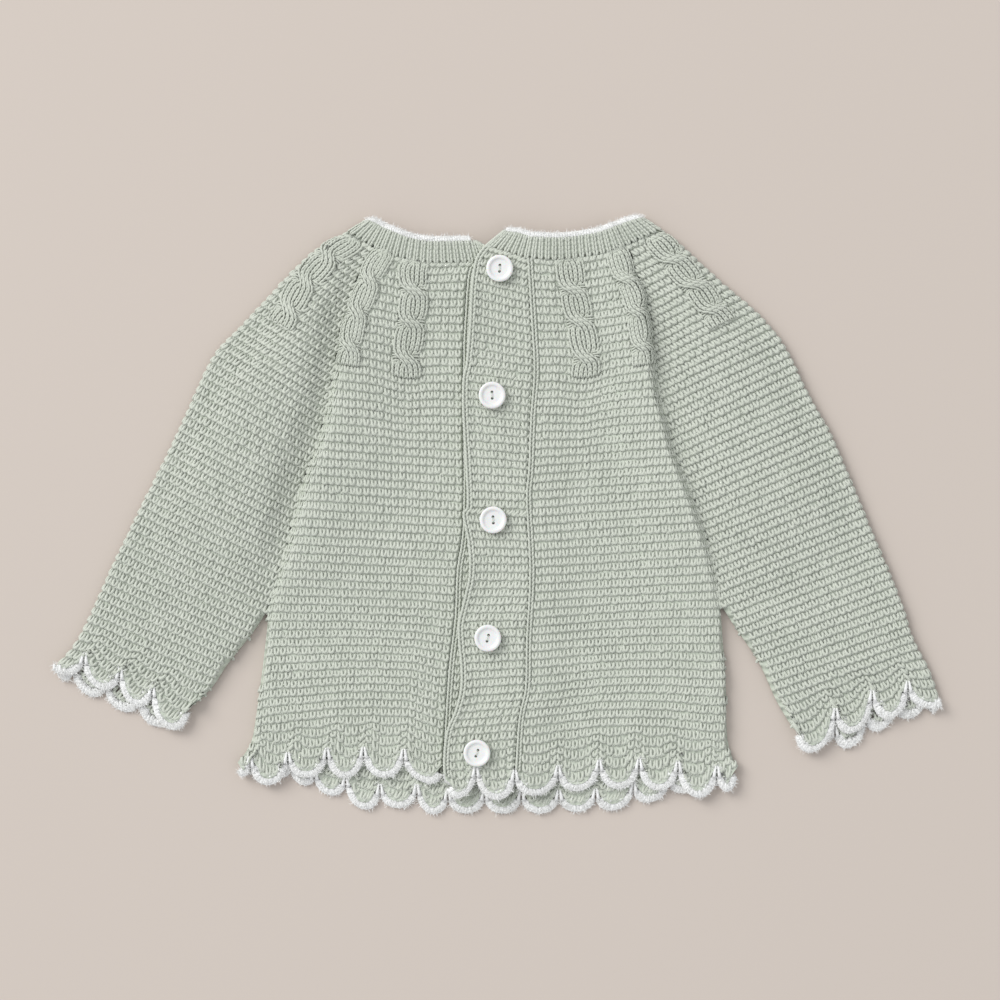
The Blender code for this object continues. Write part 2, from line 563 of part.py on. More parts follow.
def cuff_row(upper, lower, inset, drop):
    """Scalloped end of a sleeve: top layer, round the outer fold, then the lower layer.

    Returns outer points, inner points and the index of the point where the fold starts.
    """
    upper_plan = scallops(upper, inset, drop, half_first=True)[::-1]
    lower_plan = scallops(lower, inset, drop, half_first=True)
    inwards = np.array(upper[-1][:2]) - np.array(upper[0][:2])
    inwards = inwards / np.linalg.norm(inwards)
    turns = np.radians(FOLD_TURNS[1:-1])
    under = ((1 - np.sin(turns)) / 2)[:, None]
    tips = upper_plan[-1] * (1 - under) + lower_plan[0] * under
    top = UPPER + CLOTH
    out_distance = OUTER_FOLD * (1 - np.cos(turns)) - OUTER_FOLD
    in_distance = CLOTH + (OUTER_FOLD - CLOTH) * (1 - np.cos(turns)) - OUTER_FOLD
    fold_out = lifted(tips + out_distance[:, None] * inwards, top / 2 * (1 + np.sin(turns)))
    fold_in = lifted(tips + in_distance[:, None] * inwards, top / 2 + (top / 2 - CLOTH) * np.sin(turns))
    outer = np.vstack([lifted(upper_plan, top), fold_out, lifted(lower_plan, 0.0)])
    inner = np.vstack([lifted(upper_plan, UPPER), fold_in, lifted(lower_plan, CLOTH)])
    return outer, inner, len(upper_plan) - 1


# Back: flat on the surface, its sides curled up to meet the front panels


def back_panel(name):
    left = moved(joined(CREASE_LEFT, SIDE_LEFT), SEAM / 2)
    right = moved(joined(CREASE_RIGHT, SIDE_RIGHT), -SEAM / 2)
    underarm = length(dense(CREASE_LEFT)) / length(left)
    neck_line = dense(NECK_BACK)
    base = np.array([row[:2] for row in HEM_BACK], dtype=float)
    last = 1.0 - HEM_STRIP / length(left)
    fractions = np.concatenate([np.linspace(0.0, underarm, BACK_YOKE_ROWS),
                                underarm + FOLD_EASE * np.array([0.5, 1.0]),
                                np.linspace(underarm + 2 * FOLD_EASE, last, BACK_BODY_ROWS)])
    steps = np.array(CURL_STEPS)
    outer_rows, inner_rows = [], []
    for fraction in fractions:
        start, end = at(left, fraction)[0], at(right, fraction)[0]
        width = float(np.linalg.norm(end - start))
        folded = float(fold_share(fraction, underarm, last))
        middle = (UPPER + CLOTH + body_roll(SIDE_FOLD) * float(roll_share(fraction, underarm))) / 2
        _, swing, turned = fold_profile(steps)
        curl = np.minimum(middle * (1 - swing), middle - SEAM / 2) * folded
        curl_in = np.minimum(middle - (middle - CLOTH) * swing, middle - SEAM / 2)
        curl_in = CLOTH * (1 - folded) + curl_in * folded
        steps_in = steps * (1 - folded) + turned * folded
        between = np.linspace(SIDE_FOLD, width - SIDE_FOLD, BACK_COLUMNS)[1:-1]
        flat = np.zeros(len(between))
        distances = np.concatenate([steps, between, width - steps[::-1]])
        distances_in = np.concatenate([steps_in, between, width - steps_in[::-1]])
        heights = np.concatenate([curl, flat, curl[::-1]])
        heights_in = np.concatenate([curl_in, flat + CLOTH, curl_in[::-1]])

        def place(spans):
            share = (spans / width)[:, None]
            rows = start * (1 - share) + end * share
            top = at(neck_line, spans / width) + (1 - share) * (at(left, 0) - neck_line[0])
            top = top + share * (at(right, 0) - neck_line[-1])
            flat_top = at(left, 0) * (1 - share) + at(right, 0) * share
            flat_base = at(left, 1) * (1 - share) + at(right, 1) * share
            rows = rows + (top - flat_top) * (1 - smooth(fraction / BACK_BEND))
            to_hem = smooth((fraction - BACK_BEND) / (1 - BACK_BEND))
            return rows + (at(base, spans / width) - flat_base) * to_hem

        outer_rows.append(lifted(place(distances), heights))
        inner_rows.append(lifted(place(distances_in), heights_in))
    hem = scallops(HEM_BACK, EDGING + SEAM, HEM_DROP)
    outer_rows.append(lifted(hem, 0.0))
    inner_rows.append(lifted(hem, CLOTH))
    wall(name, outer_rows, inner_rows, GREEN)
    return outer_rows[0], inner_rows[0]


# Bands: two strips down the opening, the right one on top


def band(name, left, right, scallop_table, underside, waves):
    """A strip from the neckband to the scallops; waves lift its left edge."""
    panel_length = length(left)
    last = 1.0 - HEM_STRIP / panel_length
    shares = np.array(BAND_COLUMNS)
    outer_rows, inner_rows = [], []
    for fraction in np.linspace(0.0, last, BAND_ROWS):
        start, end = at(left, fraction)[0], at(right, fraction)[0]
        plan = start + shares[:, None] * (end - start)
        lift = np.zeros(len(shares))
        for centre_y, half_length, height in waves:
            near = max(0.0, 1 - ((start[1] - centre_y) / half_length) ** 2)
            lift = lift + height * near * (1 - smooth(shares / WAVE_WIDTH))
        outer_rows.append(lifted(plan, underside + CLOTH + lift))
        inner_rows.append(lifted(plan, underside + lift))
    hem = scallops(scallop_table, EDGING + SEAM, HEM_DROP)
    if hem[0, 0] > hem[-1, 0]:
        hem = hem[::-1].copy()
    hem[0, 0] += SEAM / 2
    hem[-1, 0] -= SEAM / 2
    outer_rows.append(lifted(hem, underside + CLOTH))
    inner_rows.append(lifted(hem, underside))
    wall(name, outer_rows, inner_rows, GREEN)
    return outer_rows[0], inner_rows[0]


# Neckband: one strip round the neck, built from the end rows of the pieces it joins


def neckband(rows):
    """rows holds (outer points, inner points, lean table, ribbed) for each piece in turn. The first is
    the band underneath, where the neckband's end is turned down and has no white edge."""
    outer = np.vstack([row[0] for row in rows])
    inner = np.vstack([row[1] for row in rows])
    lean = np.concatenate([np.interp(row[0][:, 0], *np.array(row[2]).T) for row in rows])
    ribbed = np.concatenate([np.full(len(row[0]), row[3]) for row in rows])
    count = 2 * int(round(length(outer) / RIB_PITCH))
    fraction = np.linspace(0.0, 1.0, count + 1)
    packed = np.hstack([outer, inner, lean[:, None], ribbed[:, None]])
    steps = np.linalg.norm(np.diff(outer, axis=0), axis=1)
    along = np.concatenate([[0.0], np.cumsum(steps)]) / steps.sum()
    packed = np.stack([np.interp(fraction, along, packed[:, axis]) for axis in range(packed.shape[1])],
                      axis=1)
    outer, inner = packed[:, 0:3], packed[:, 3:6]
    angle = np.radians(packed[:, 6])
    up = np.stack([np.sin(angle), np.cos(angle), np.zeros(len(angle))], axis=1)
    outwards = (outer - inner) / np.linalg.norm(outer - inner, axis=1)[:, None]
    ridge = np.where(np.arange(count + 1) % 2 == 1, RIB_RELIEF, 0.0) * packed[:, 7]
    ridge = (ridge * (outwards[:, 2] > RIB_SIDE))[:, None] * outwards
    low, high = outer + SEAM * up + ridge, outer + RIB_DEPTH * up + ridge
    low_in, high_in = inner + SEAM * up, inner + RIB_DEPTH * up
    wall("neckband", [low, high], [low_in, high_in], GREEN)
    open_end = int(np.searchsorted(fraction, along[len(rows[0][0])]))
    thin = open_end + bends((outer + RIB_DEPTH * up)[open_end:], BEND_LIMIT, BEND_SPAN)
    low, high = outer + (RIB_DEPTH + SEAM) * up, outer + (RIB_DEPTH + NECK_EDGING) * up
    low_in, high_in = inner + (RIB_DEPTH + SEAM) * up, inner + (RIB_DEPTH + NECK_EDGING) * up
    wall("neck_edging", [low[thin], high[thin]], [low_in[thin], high_in[thin]], WHITE)


def hem_edging(name, table, top):
    """White edge along a row of scallops; top gives the height of its upper face at each point."""
    inner_curve, outer_curve = scallops(table, EDGING, HEM_DROP), scallops(table, 0.0, HEM_DROP)
    rows = [lifted(inner_curve, top(inner_curve)), lifted(outer_curve, top(outer_curve))]
    wall(name, rows, [row - (0, 0, CLOTH) for row in rows], WHITE)


def cuff_edging(name, upper, lower, drop):
    """White edge round a cuff, over both layers and the outer fold."""
    near_out, near_in, _ = cuff_row(upper, lower, EDGING, drop)
    far_out, far_in, _ = cuff_row(upper, lower, 0.0, drop)
    wall(name, [near_out, far_out], [near_in, far_in], WHITE)


# Buttons: turned, dished, with two holes


def turned_button(name, x, y, base, turn):
    mesh = bpy.data.meshes.new(name)
    points = [(radius * MM, 0.0, height * MM) for radius, height in BUTTON_PROFILE]
    mesh.from_pydata(points, [(i, i + 1) for i in range(len(points) - 1)], [])
    button = bpy.data.objects.new(name, mesh)
    cardigan.objects.link(button)
    button.location = (x * MM, y * MM, base * MM)
    button.rotation_euler = (0.0, 0.0, math.radians(turn))
    screw = button.modifiers.new("turn", "SCREW")
    screw.steps = BUTTON_STEPS
    screw.render_steps = BUTTON_STEPS
    screw.use_merge_vertices = True
    screw.merge_threshold = WELD * MM
    for sign in (-1, 1):
        bpy.ops.mesh.primitive_cylinder_add(vertices=HOLE_SIDES, radius=HOLE_RADIUS * MM,
                                            depth=HOLE_DEPTH * MM)
        cutter = bpy.context.object
        cutter.name = name + ("_hole_low" if sign < 0 else "_hole_high")
        cutter.parent = button
        cutter.location = (0.0, sign * HOLE_OFFSET * MM, 0.0)
        cutter.hide_render = True
        cutter.display_type = "WIRE"
        for owner in list(cutter.users_collection):
            owner.objects.unlink(cutter)
        cutters.objects.link(cutter)
        cut = button.modifiers.new("hole", "BOOLEAN")
        cut.operation = "DIFFERENCE"
        cut.object = cutter
    mesh.materials.append(make_material(name + "_shell", SHELL, 0.25))


for old in list(bpy.data.objects):
    bpy.data.objects.remove(old, do_unlink=True)
cardigan = bpy.data.collections.new("baby_cardigan")
cutters = bpy.data.collections.new("cutters")
bpy.context.scene.collection.children.link(cardigan)
bpy.context.scene.collection.children.link(cutters)

crease_left, crease_right = length(dense(CREASE_LEFT)), length(dense(CREASE_RIGHT))
edge_left, edge_right = joined(CREASE_LEFT, SIDE_LEFT), joined(CREASE_RIGHT, SIDE_RIGHT)
under_left, under_right = joined(CREASE_LEFT, UNDERARM_LEFT), joined(CREASE_RIGHT, UNDERARM_RIGHT)

back_row = back_panel("back")
left_row = front_panel("front_left", SEAM_LEFT, edge_left, crease_left / length(edge_left),
                       NECK_LEFT, HEM_LEFT, CABLE_FRONT_LEFT, -1, band=False)
right_row = front_panel("front_right", SEAM_RIGHT, edge_right, crease_right / length(edge_right),
                        NECK_RIGHT, HEM_RIGHT, CABLE_FRONT_RIGHT, 1, band=True)
sleeve_left_row = sleeve("sleeve_left", under_left, OUTER_LEFT, crease_left / length(under_left),
                         CUFF_LEFT, CUFF_LEFT_UNDER, CUFF_DROP_LEFT, CABLE_SLEEVE_LEFT, -1)
sleeve_right_row = sleeve("sleeve_right", under_right, OUTER_RIGHT, crease_right / length(under_right),
                          CUFF_RIGHT, CUFF_RIGHT_UNDER, CUFF_DROP_RIGHT, CABLE_SLEEVE_RIGHT, 1)
under_row = band("button_band", moved(dense(SEAM_LEFT), SEAM / 2),
                 moved(dense(SEAM_RIGHT), -UNDER_BAND_INSET), HEM_UNDER, UPPER, ())
top_row = band("buttonhole_band", dense(BAND_EDGE), moved(dense(SEAM_RIGHT), -SEAM / 2),
               HEM_BAND, UPPER + BAND_LIFT, BAND_WAVES)


def flipped(row):
    return row[0][::-1], row[1][::-1]


neckband([(*flipped(under_row), LEAN_LEFT, 0.0), (*left_row, LEAN_LEFT, 1.0),
          (*sleeve_left_row, LEAN_LEFT, 1.0), (*back_row, LEAN_BACK, 1.0),
          (*flipped(sleeve_right_row), LEAN_RIGHT, 1.0), (*flipped(right_row), LEAN_RIGHT, 1.0),
          (*flipped(top_row), LEAN_RIGHT, 1.0)])

hem_edging("hem_edging_back", HEM_BACK, lambda plan: CLOTH)
hem_edging("hem_edging_left", HEM_UNDER[:-1] + HEM_LEFT, lambda plan: UPPER + CLOTH)
hem_edging("hem_edging_right", HEM_BAND[:-1] + HEM_RIGHT,
           lambda plan: UPPER + CLOTH + band_lift(plan[:, 0] - HEM_RIGHT[0][0]))
cuff_edging("cuff_edging_left", CUFF_LEFT, CUFF_LEFT_UNDER, CUFF_DROP_LEFT)
cuff_edging("cuff_edging_right", CUFF_RIGHT, CUFF_RIGHT_UNDER, CUFF_DROP_RIGHT)

for number, (x, y, turn) in enumerate(BUTTONS, start=1):
    turned_button(f"button_{number}", x, y, UPPER + BAND_LIFT + CLOTH + SEAM, turn)
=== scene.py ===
"""A knitted baby cardigan laid flat and buttoned, with every stitch that shows as a loop of yarn.

Lengths are in millimetres until a mesh is made. +Y runs towards the neck, z = 0 is the surface that
the garment lies on, and each piece keeps the plan lines and heights of its CAD solid.
"""
import math

import bmesh
import bpy
import numpy as np
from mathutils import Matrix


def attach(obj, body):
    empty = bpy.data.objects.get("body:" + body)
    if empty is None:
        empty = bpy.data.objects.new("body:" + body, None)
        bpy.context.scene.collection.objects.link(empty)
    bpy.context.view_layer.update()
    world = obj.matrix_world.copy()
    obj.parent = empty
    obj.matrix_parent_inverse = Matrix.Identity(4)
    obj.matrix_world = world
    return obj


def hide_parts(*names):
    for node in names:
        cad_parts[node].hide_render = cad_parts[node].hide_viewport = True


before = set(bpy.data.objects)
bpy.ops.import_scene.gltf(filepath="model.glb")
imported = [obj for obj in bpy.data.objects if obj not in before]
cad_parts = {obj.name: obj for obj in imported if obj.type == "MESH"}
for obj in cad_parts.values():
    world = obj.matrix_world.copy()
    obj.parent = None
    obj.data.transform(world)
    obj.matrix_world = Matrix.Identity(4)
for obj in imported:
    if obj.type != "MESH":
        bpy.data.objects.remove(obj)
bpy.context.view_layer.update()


# ---- Table, daylight and camera ------------------------------------------------------------
# The garment lies on a smooth painted board and is seen from straight above. Soft daylight comes
# from the upper left, so creases and the lower right of each layer fall into a faint shade.

MM = 0.001
PIXEL = 0.463               # one thousandth of the picture's width, at the middle of the cloth
CLOTH_HEIGHT = 4.0
LENS, SENSOR = 85.0, 36.0
VIEW_CENTRE = (1.16, 7.18)


def linear(code):
    """An sRGB colour written as six hex digits, as linear red, green, blue and alpha."""
    parts = np.array([int(code[at_digit:at_digit + 2], 16) for at_digit in (0, 2, 4)]) / 255.0
    bright = ((parts + 0.055) / 1.055) ** 2.4
    return (*np.where(parts <= 0.04045, parts / 12.92, bright), 1.0)


def add(material, kind, inputs, **settings):
    """One node: an input is a value, or a (node, output name) pair that is linked to it."""
    tree = material.node_tree
    node = tree.nodes.new(kind)
    for name, value in settings.items():
        setattr(node, name, value)
    for name, value in inputs.items():
        if isinstance(value, tuple) and len(value) == 2 and hasattr(value[0], "outputs"):
            tree.links.new(value[0].outputs[value[1]], node.inputs[name])
        else:
            node.inputs[name].default_value = value
    return node


def new_material(name, **values):
    """A named material and its Principled shader, with values set on the shader's own sockets."""
    material = bpy.data.materials.new(name)
    material.use_nodes = True
    shader = material.node_tree.nodes["Principled BSDF"]
    for socket, value in values.items():
        shader.inputs[socket.replace("_", " ")].default_value = value
    return material, shader


def put(name, points, faces, material, corner_uv=None):
    """A mesh object at the origin from points in millimetres and an array of faces."""
    mesh = bpy.data.meshes.new(name)
    mesh.from_pydata((np.asarray(points) * MM).tolist(), [], np.asarray(faces).tolist())
    if corner_uv is not None:
        mesh.uv_layers.new(name="yarn").data.foreach_set("uv", np.asarray(corner_uv).ravel())
    mesh.shade_smooth()
    mesh.materials.append(material)
    piece = bpy.data.objects.new(name, mesh)
    bpy.context.scene.collection.objects.link(piece)
    return piece


MIX_DARK, MIX_LIGHT, MIX_RESULT = 6, 7, 2               # colour sockets of a Mix node, by number


def tinted(material, shader, source, dark, light, low=0.0, high=1.0):
    """Give the base colour, from dark to light, as an output of another node goes from low to high."""
    share = add(material, "ShaderNodeMapRange", {"Value": source, "From Min": low, "From Max": high})
    tone = add(material, "ShaderNodeMix", {"Factor": (share, "Result"), MIX_DARK: linear(dark),
                                           MIX_LIGHT: linear(light)}, data_type="RGBA")
    material.node_tree.links.new(tone.outputs[MIX_RESULT], shader.inputs["Base Color"])


# Eggshell paint on board: no visible grain, only a faint unevenness of tone.
board, board_shader = new_material("eggshell_painted_board", Roughness=0.8, Specular_IOR_Level=0.2)
where = add(board, "ShaderNodeTexCoord", {})
blotch = add(board, "ShaderNodeTexNoise", {"Vector": (where, "Object"), "Scale": 3.0, "Detail": 1.0})
tinted(board, board_shader, (blotch, "Fac"), "cabfb5", "ccc1b7")
HALF_BOARD, BOARD_TOP = 3000.0, -0.2
corners = [(x * HALF_BOARD, y * HALF_BOARD, BOARD_TOP) for x, y in ((-1, -1), (1, -1), (1, 1), (-1, 1))]
table = put("table", corners, [(0, 1, 2, 3)], board)

world = bpy.data.worlds.new("daylight")
bpy.context.scene.world = world
world.use_nodes = True
world.node_tree.nodes["Background"].inputs["Color"].default_value = linear("f4f6fa")
world.node_tree.nodes["Background"].inputs["Strength"].default_value = 0.73

# name: place, size and power of each soft light, all turned to the middle of the garment
LIGHTS = {"window": ((-4.1, 3.2, 3.8), 3.6, 310.0), "bounce": ((3.6, -1.8, 4.8), 4.0, 10.0)}
for light_name, (place, size, power) in LIGHTS.items():
    lamp = bpy.data.lights.new(light_name, "AREA")
    lamp.size = size
    lamp.energy = power
    lamp_object = bpy.data.objects.new(light_name, lamp)
    bpy.context.scene.collection.objects.link(lamp_object)
    lamp_object.location = place
    tilt = math.atan2(math.hypot(*place[:2]), place[2])
    lamp_object.rotation_euler = (tilt, 0.0, math.atan2(place[1], place[0]) + math.pi / 2)

lens = bpy.data.cameras.new("camera")
lens.lens = LENS
lens.sensor_width = SENSOR
camera = bpy.data.objects.new("camera", lens)
bpy.context.scene.collection.objects.link(camera)
camera.location = (VIEW_CENTRE[0] * MM, VIEW_CENTRE[1] * MM,
                   (PIXEL * 1000 * LENS / SENSOR + CLOTH_HEIGHT) * MM)
bpy.context.scene.camera = camera
bpy.context.scene.view_settings.view_transform = "Standard"


# ---- Back ----------------------------------------------------------------------------------
# One flat panel of garter stitch in sage cotton, worked from the neck down. It lies face down on
# the table; only its scalloped hem shows, a few millimetres below the fronts.

CLOTH = 2.2                 # thickness of the knitting
SEAM = 0.3
LOWEST = 0.03               # no point lies lower than this
UPPER = CLOTH + SEAM        # underside of the upper layer
STITCH = 3.27               # width of one garter stitch
RIDGE = 3.9                 # height of one garter ridge, two rows
SIDE_FOLD = 4.0             # width of the rounded fold at the side
SAG, SAG_POWER = 22.0, 1.4  # rows start to follow the scallops this far above them
EDGING = 3.0                # width of the white crochet
CUSP_RISE = 1.2
LEAST_DEPTH, LEAST_WIDTH = 0.3, 0.2
FOLD_EASE, FOLD_END = 0.03, 0.01
LOBE_ANGLES = np.arange(4, 177, 4)
SMALL_STEP = 0.05           # for slopes of a surface
WELD = 0.001                # points closer than this are one

# Plan lines, x and y, from the neck downwards
CREASE_LEFT = ((-57.5, 125), (-62.5, 117.5), (-66.5, 107), (-69.5, 98.5), (-72.5, 89.5), (-74.5, 77),
               (-76, 67.5), (-82, 39.5), (-91.5, 12), (-98.5, -16), (-106.5, -44))
CREASE_RIGHT = ((60.5, 126), (64.5, 113.5), (69, 103.5), (70.5, 95), (72.5, 83.5), (74, 68),
                (75.5, 55.5), (79, 44), (82.5, 30), (92, 5.5), (100, -20.5), (103.5, -41.5))
SIDE_LEFT = ((-106.5, -44), (-107, -52), (-109.5, -73.5), (-113, -99), (-115, -108.5), (-120.5, -118))
SIDE_RIGHT = ((103.5, -41.5), (104.5, -56), (106, -76), (106.5, -101), (108, -111), (111, -120.5))
NECK_BACK = ((-57.5, 125), (-49, 108), (-27, 94), (1, 89), (29, 94), (52, 108), (60.5, 126))
# Scallops: cusp x, cusp y, and the depth of the lobe that follows it
HEM_BACK = ((-120.5, -118, 3), (-109, -116, 4.5), (-96, -118.5, 5), (-85, -122, 6.5), (-70.5, -125, 9.5),
            (-54.5, -129, 7), (-37.5, -129, 8.5), (-23, -131.5, 7), (-6, -131.5, 7), (11, -131.5, 7),
            (28.5, -131.5, 6.5), (45.5, -131, 7.5), (63, -128, 7), (79.5, -124.5, 6),
            (95.5, -121, 5), (111, -120.5, 0))
HEM_DROP = (0.0, -1.0)


def smooth(value):
    """Ease from 0 to 1 while value runs from 0 to 1: 3v^2 - 2v^3."""
    clipped = np.clip(value, 0.0, 1.0)
    return clipped * clipped * (3.0 - 2.0 * clipped)


def dense(points, per_span=24):
    """Catmull-Rom curve through the points: each span is the cubic with the chord of its
    neighbours as its slope at either end."""
    knots = np.array(points, dtype=float)
    before = np.vstack([2 * knots[0] - knots[1], knots[:-1]])
    after = np.vstack([knots[1:], 2 * knots[-1] - knots[-2]])
    slope = (after - before)[:, None] / 2.0
    t = np.linspace(0.0, 1.0, per_span, endpoint=False)[None, :, None]
    start, end = knots[:-1, None], knots[1:, None]
    spans = ((2 * t**3 - 3 * t**2 + 1) * start + (t**3 - 2 * t**2 + t) * slope[:-1]
             + (3 * t**2 - 2 * t**3) * end + (t**3 - t**2) * slope[1:])
    return np.vstack([spans.reshape(-1, 2), knots[-1:]])


def joined(first, second):
    """One dense line from two tables that share a corner."""
    return np.vstack([dense(first), dense(second)[1:]])


def distances(line):
    """Distance of each point of a polyline from its start, measured along it."""
    return np.concatenate([[0.0], np.cumsum(np.linalg.norm(np.diff(line, axis=0), axis=1))])


def length(line):
    return float(distances(line)[-1])


def at(line, fraction):
    """Points of a polyline at fractions of its length."""
    along = distances(line)
    return np.stack([np.interp(fraction, along / along[-1], column) for column in line.T], axis=-1)


def moved(line, distance):
    """The line moved sideways along its normals: to +X for a line that runs down the garment."""
    slope = np.gradient(line, axis=0)
    slope /= np.linalg.norm(slope, axis=1)[:, None]
    return line + distance * np.stack([-slope[:, 1], slope[:, 0]], axis=1)


def on_lobe(table, drop, lobe, angle, inset):
    """Points on scallops: half an ellipse hung between two cusps, made smaller by the inset."""
    rows = np.array(table, dtype=float)
    start, end, depth = rows[lobe, :2], rows[lobe + 1, :2], rows[lobe, 2]
    middle, half = (start + end) / 2.0, (end - start) / 2.0
    depth = np.maximum(depth - inset, LEAST_DEPTH * depth)
    narrowed = np.maximum(1.0 - inset / np.linalg.norm(half, axis=-1), LEAST_WIDTH)
    across = -(np.cos(angle) * narrowed)[..., None] * half
    return middle + across + (np.sin(angle) * depth)[..., None] * np.array(drop)


def whole_lobes(table, half_first):
    """The table of cusps. Where half_first is set, the first row is the middle of a lobe, of which
    only the second half is there, so it is moved out to where that lobe would start."""
    rows = [list(row) for row in table]
    if half_first:
        rows[0][0:2] = [2 * table[0][axis] - table[1][axis] for axis in (0, 1)]
    return rows


def scallops(table, drop, inset, half_first=False):
    """The whole scalloped line as a polyline, with a notch at each cusp."""
    rows = whole_lobes(table, half_first)
    lobe, angle = np.meshgrid(np.arange(len(table) - 1), np.radians(LOBE_ANGLES), indexing="ij")
    lobes = on_lobe(rows, drop, lobe, angle, inset)
    cusps = np.array(rows, dtype=float)[:, :2] - np.array(drop) * inset * CUSP_RISE
    line = np.concatenate([cusps[:-1, None], lobes], axis=1).reshape(-1, 2)
    line = np.vstack([line, cusps[-1:]])
    return line[1 + len(LOBE_ANGLES) // 2:] if half_first else line


def stray(line, first, last):
    """How far a line strays from the straight row between two points, at shares of that row."""
    row = last - first
    share = (line - first) @ row / (row @ row)
    order = np.argsort(share)
    apart = (line - first - share[:, None] * row)[order]
    return lambda wanted: np.stack([np.interp(wanted, share[order], column) for column in apart.T], axis=-1)


def knitted_plan(first, second, neck=None, base=None, edge=None, bend=(0.35, 0.6)):
    """Plan of a panel. Rows run straight between its two sides, are bent to the neck line over the
    first share of its length and to the line of cusps over the last, and sag into the scallops."""
    neck_off = stray(np.array([first[0], second[0]]) if neck is None else neck, first[0], second[0])
    base_off = stray(np.array([first[-1], second[-1]]) if base is None else base, first[-1], second[-1])
    edge_off = stray(edge, first[-1], second[-1])
    sag_from = 1.0 - SAG / length(first)

    def place(fraction, share):
        start, end = at(first, fraction), at(second, fraction)
        rows = start + share[..., None] * (end - start)
        rows = rows + neck_off(share) * (1 - smooth(fraction / bend[0]))[..., None]
        rows = rows + base_off(share) * smooth((fraction - bend[1]) / (1 - bend[1]))[..., None]
        sag = np.clip((fraction - sag_from) / (1 - sag_from), 0.0, 1.0) ** SAG_POWER
        return rows + (edge_off(share) - base_off(share)) * sag[..., None]

    def width(fraction):
        return np.linalg.norm(at(second, fraction) - at(first, fraction), axis=-1)

    return place, width


def fold_share(fraction, underarm):
    """How far an edge is folded round: not at all above the underarm or at the very end."""
    return smooth((fraction - underarm) / FOLD_EASE) * smooth((1.0 - FOLD_END - fraction) / FOLD_EASE)


def fold_reach(distance, folded):
    """Distance from an edge, kept at the width of the fold where the edge is folded round."""
    return np.maximum(distance * (1 - folded) + np.maximum(distance, SIDE_FOLD) * folded, 0.0)


def rounded(top, distance, folded):
    """Height of the cloth near an edge: where it is folded round, a quarter of an ellipse that
    comes down to half the height at the edge."""
    turn = np.arccos(np.clip(1.0 - distance / SIDE_FOLD, 0.0, 1.0))
    round_top = np.maximum(top / 2 * (1 + np.sin(turn)), top / 2 + SEAM / 2)
    return np.where(distance < SIDE_FOLD, top * (1 - folded) + round_top * folded, top)


def normals(surface, down, across, flip):
    """Unit normals of a surface, from the cross product of small steps across and down it."""
    here = surface(down, across)
    aside, below = surface(down, across + SMALL_STEP) - here, surface(down + SMALL_STEP, across) - here
    out = np.cross(aside, below) * flip
    return here, out / np.maximum(np.linalg.norm(out, axis=-1), 1e-9)[..., None]


def on_table(points):
    """The points with none below the surface that the garment lies on."""
    points[..., 2] = np.maximum(points[..., 2], LOWEST)
    return points


def shell(name, surface, down, across, flip, material, sink=0.80, thick=1.2):
    """A thin closed sheet on a surface: the grid of points moved in, the same moved in further, and
    a rim between them. The flip of the normals turns the faces outwards too."""
    here, out = normals(surface, down, across, flip)
    outer, inner = on_table(here - sink * out), on_table(here - (sink + thick) * out)
    count = down.size
    index = np.arange(count).reshape(down.shape)
    quads = np.stack([index[:-1, :-1], index[:-1, 1:], index[1:, 1:], index[1:, :-1]], axis=-1)
    quads = quads.reshape(-1, 4)
    rim = np.concatenate([index[0], index[1:, -1], index[-1, -2::-1], index[-2:0:-1, 0]])
    ahead = np.roll(rim, -1)
    sides = np.stack([rim, rim + count, ahead + count, ahead], axis=-1)
    faces = np.vstack([quads, quads[:, ::-1] + count, sides])
    if flip < 0:
        faces = faces[:, [0, 3, 2, 1]]
    return put(name, np.vstack([outer.reshape(-1, 3), inner.reshape(-1, 3)]), faces, material)


def laid(surface, path, down, across, flip, seed=1, wobble=(0.16, 0.10)):
    """Copies of a path laid on a surface: each point is moved across and down it, then out along
    its normal. Every copy strays a little, by a seeded amount."""
    random = np.random.default_rng(seed)
    path = np.array(path, dtype=float)
    drift = random.normal(0.0, 1.0, (3, len(down)))
    place_across = across[:, None] + path[..., 0] + wobble[0] * drift[0][:, None]
    place_down = down[:, None] + path[..., 1] + wobble[0] * drift[1][:, None]
    here, out = normals(surface, place_down, place_across, flip)
    height = path[..., 2] + wobble[1] * drift[2][:, None]
    return here + out * height[..., None], out


SQUASH = 0.64               # knitted yarn is this much flatter than it is wide


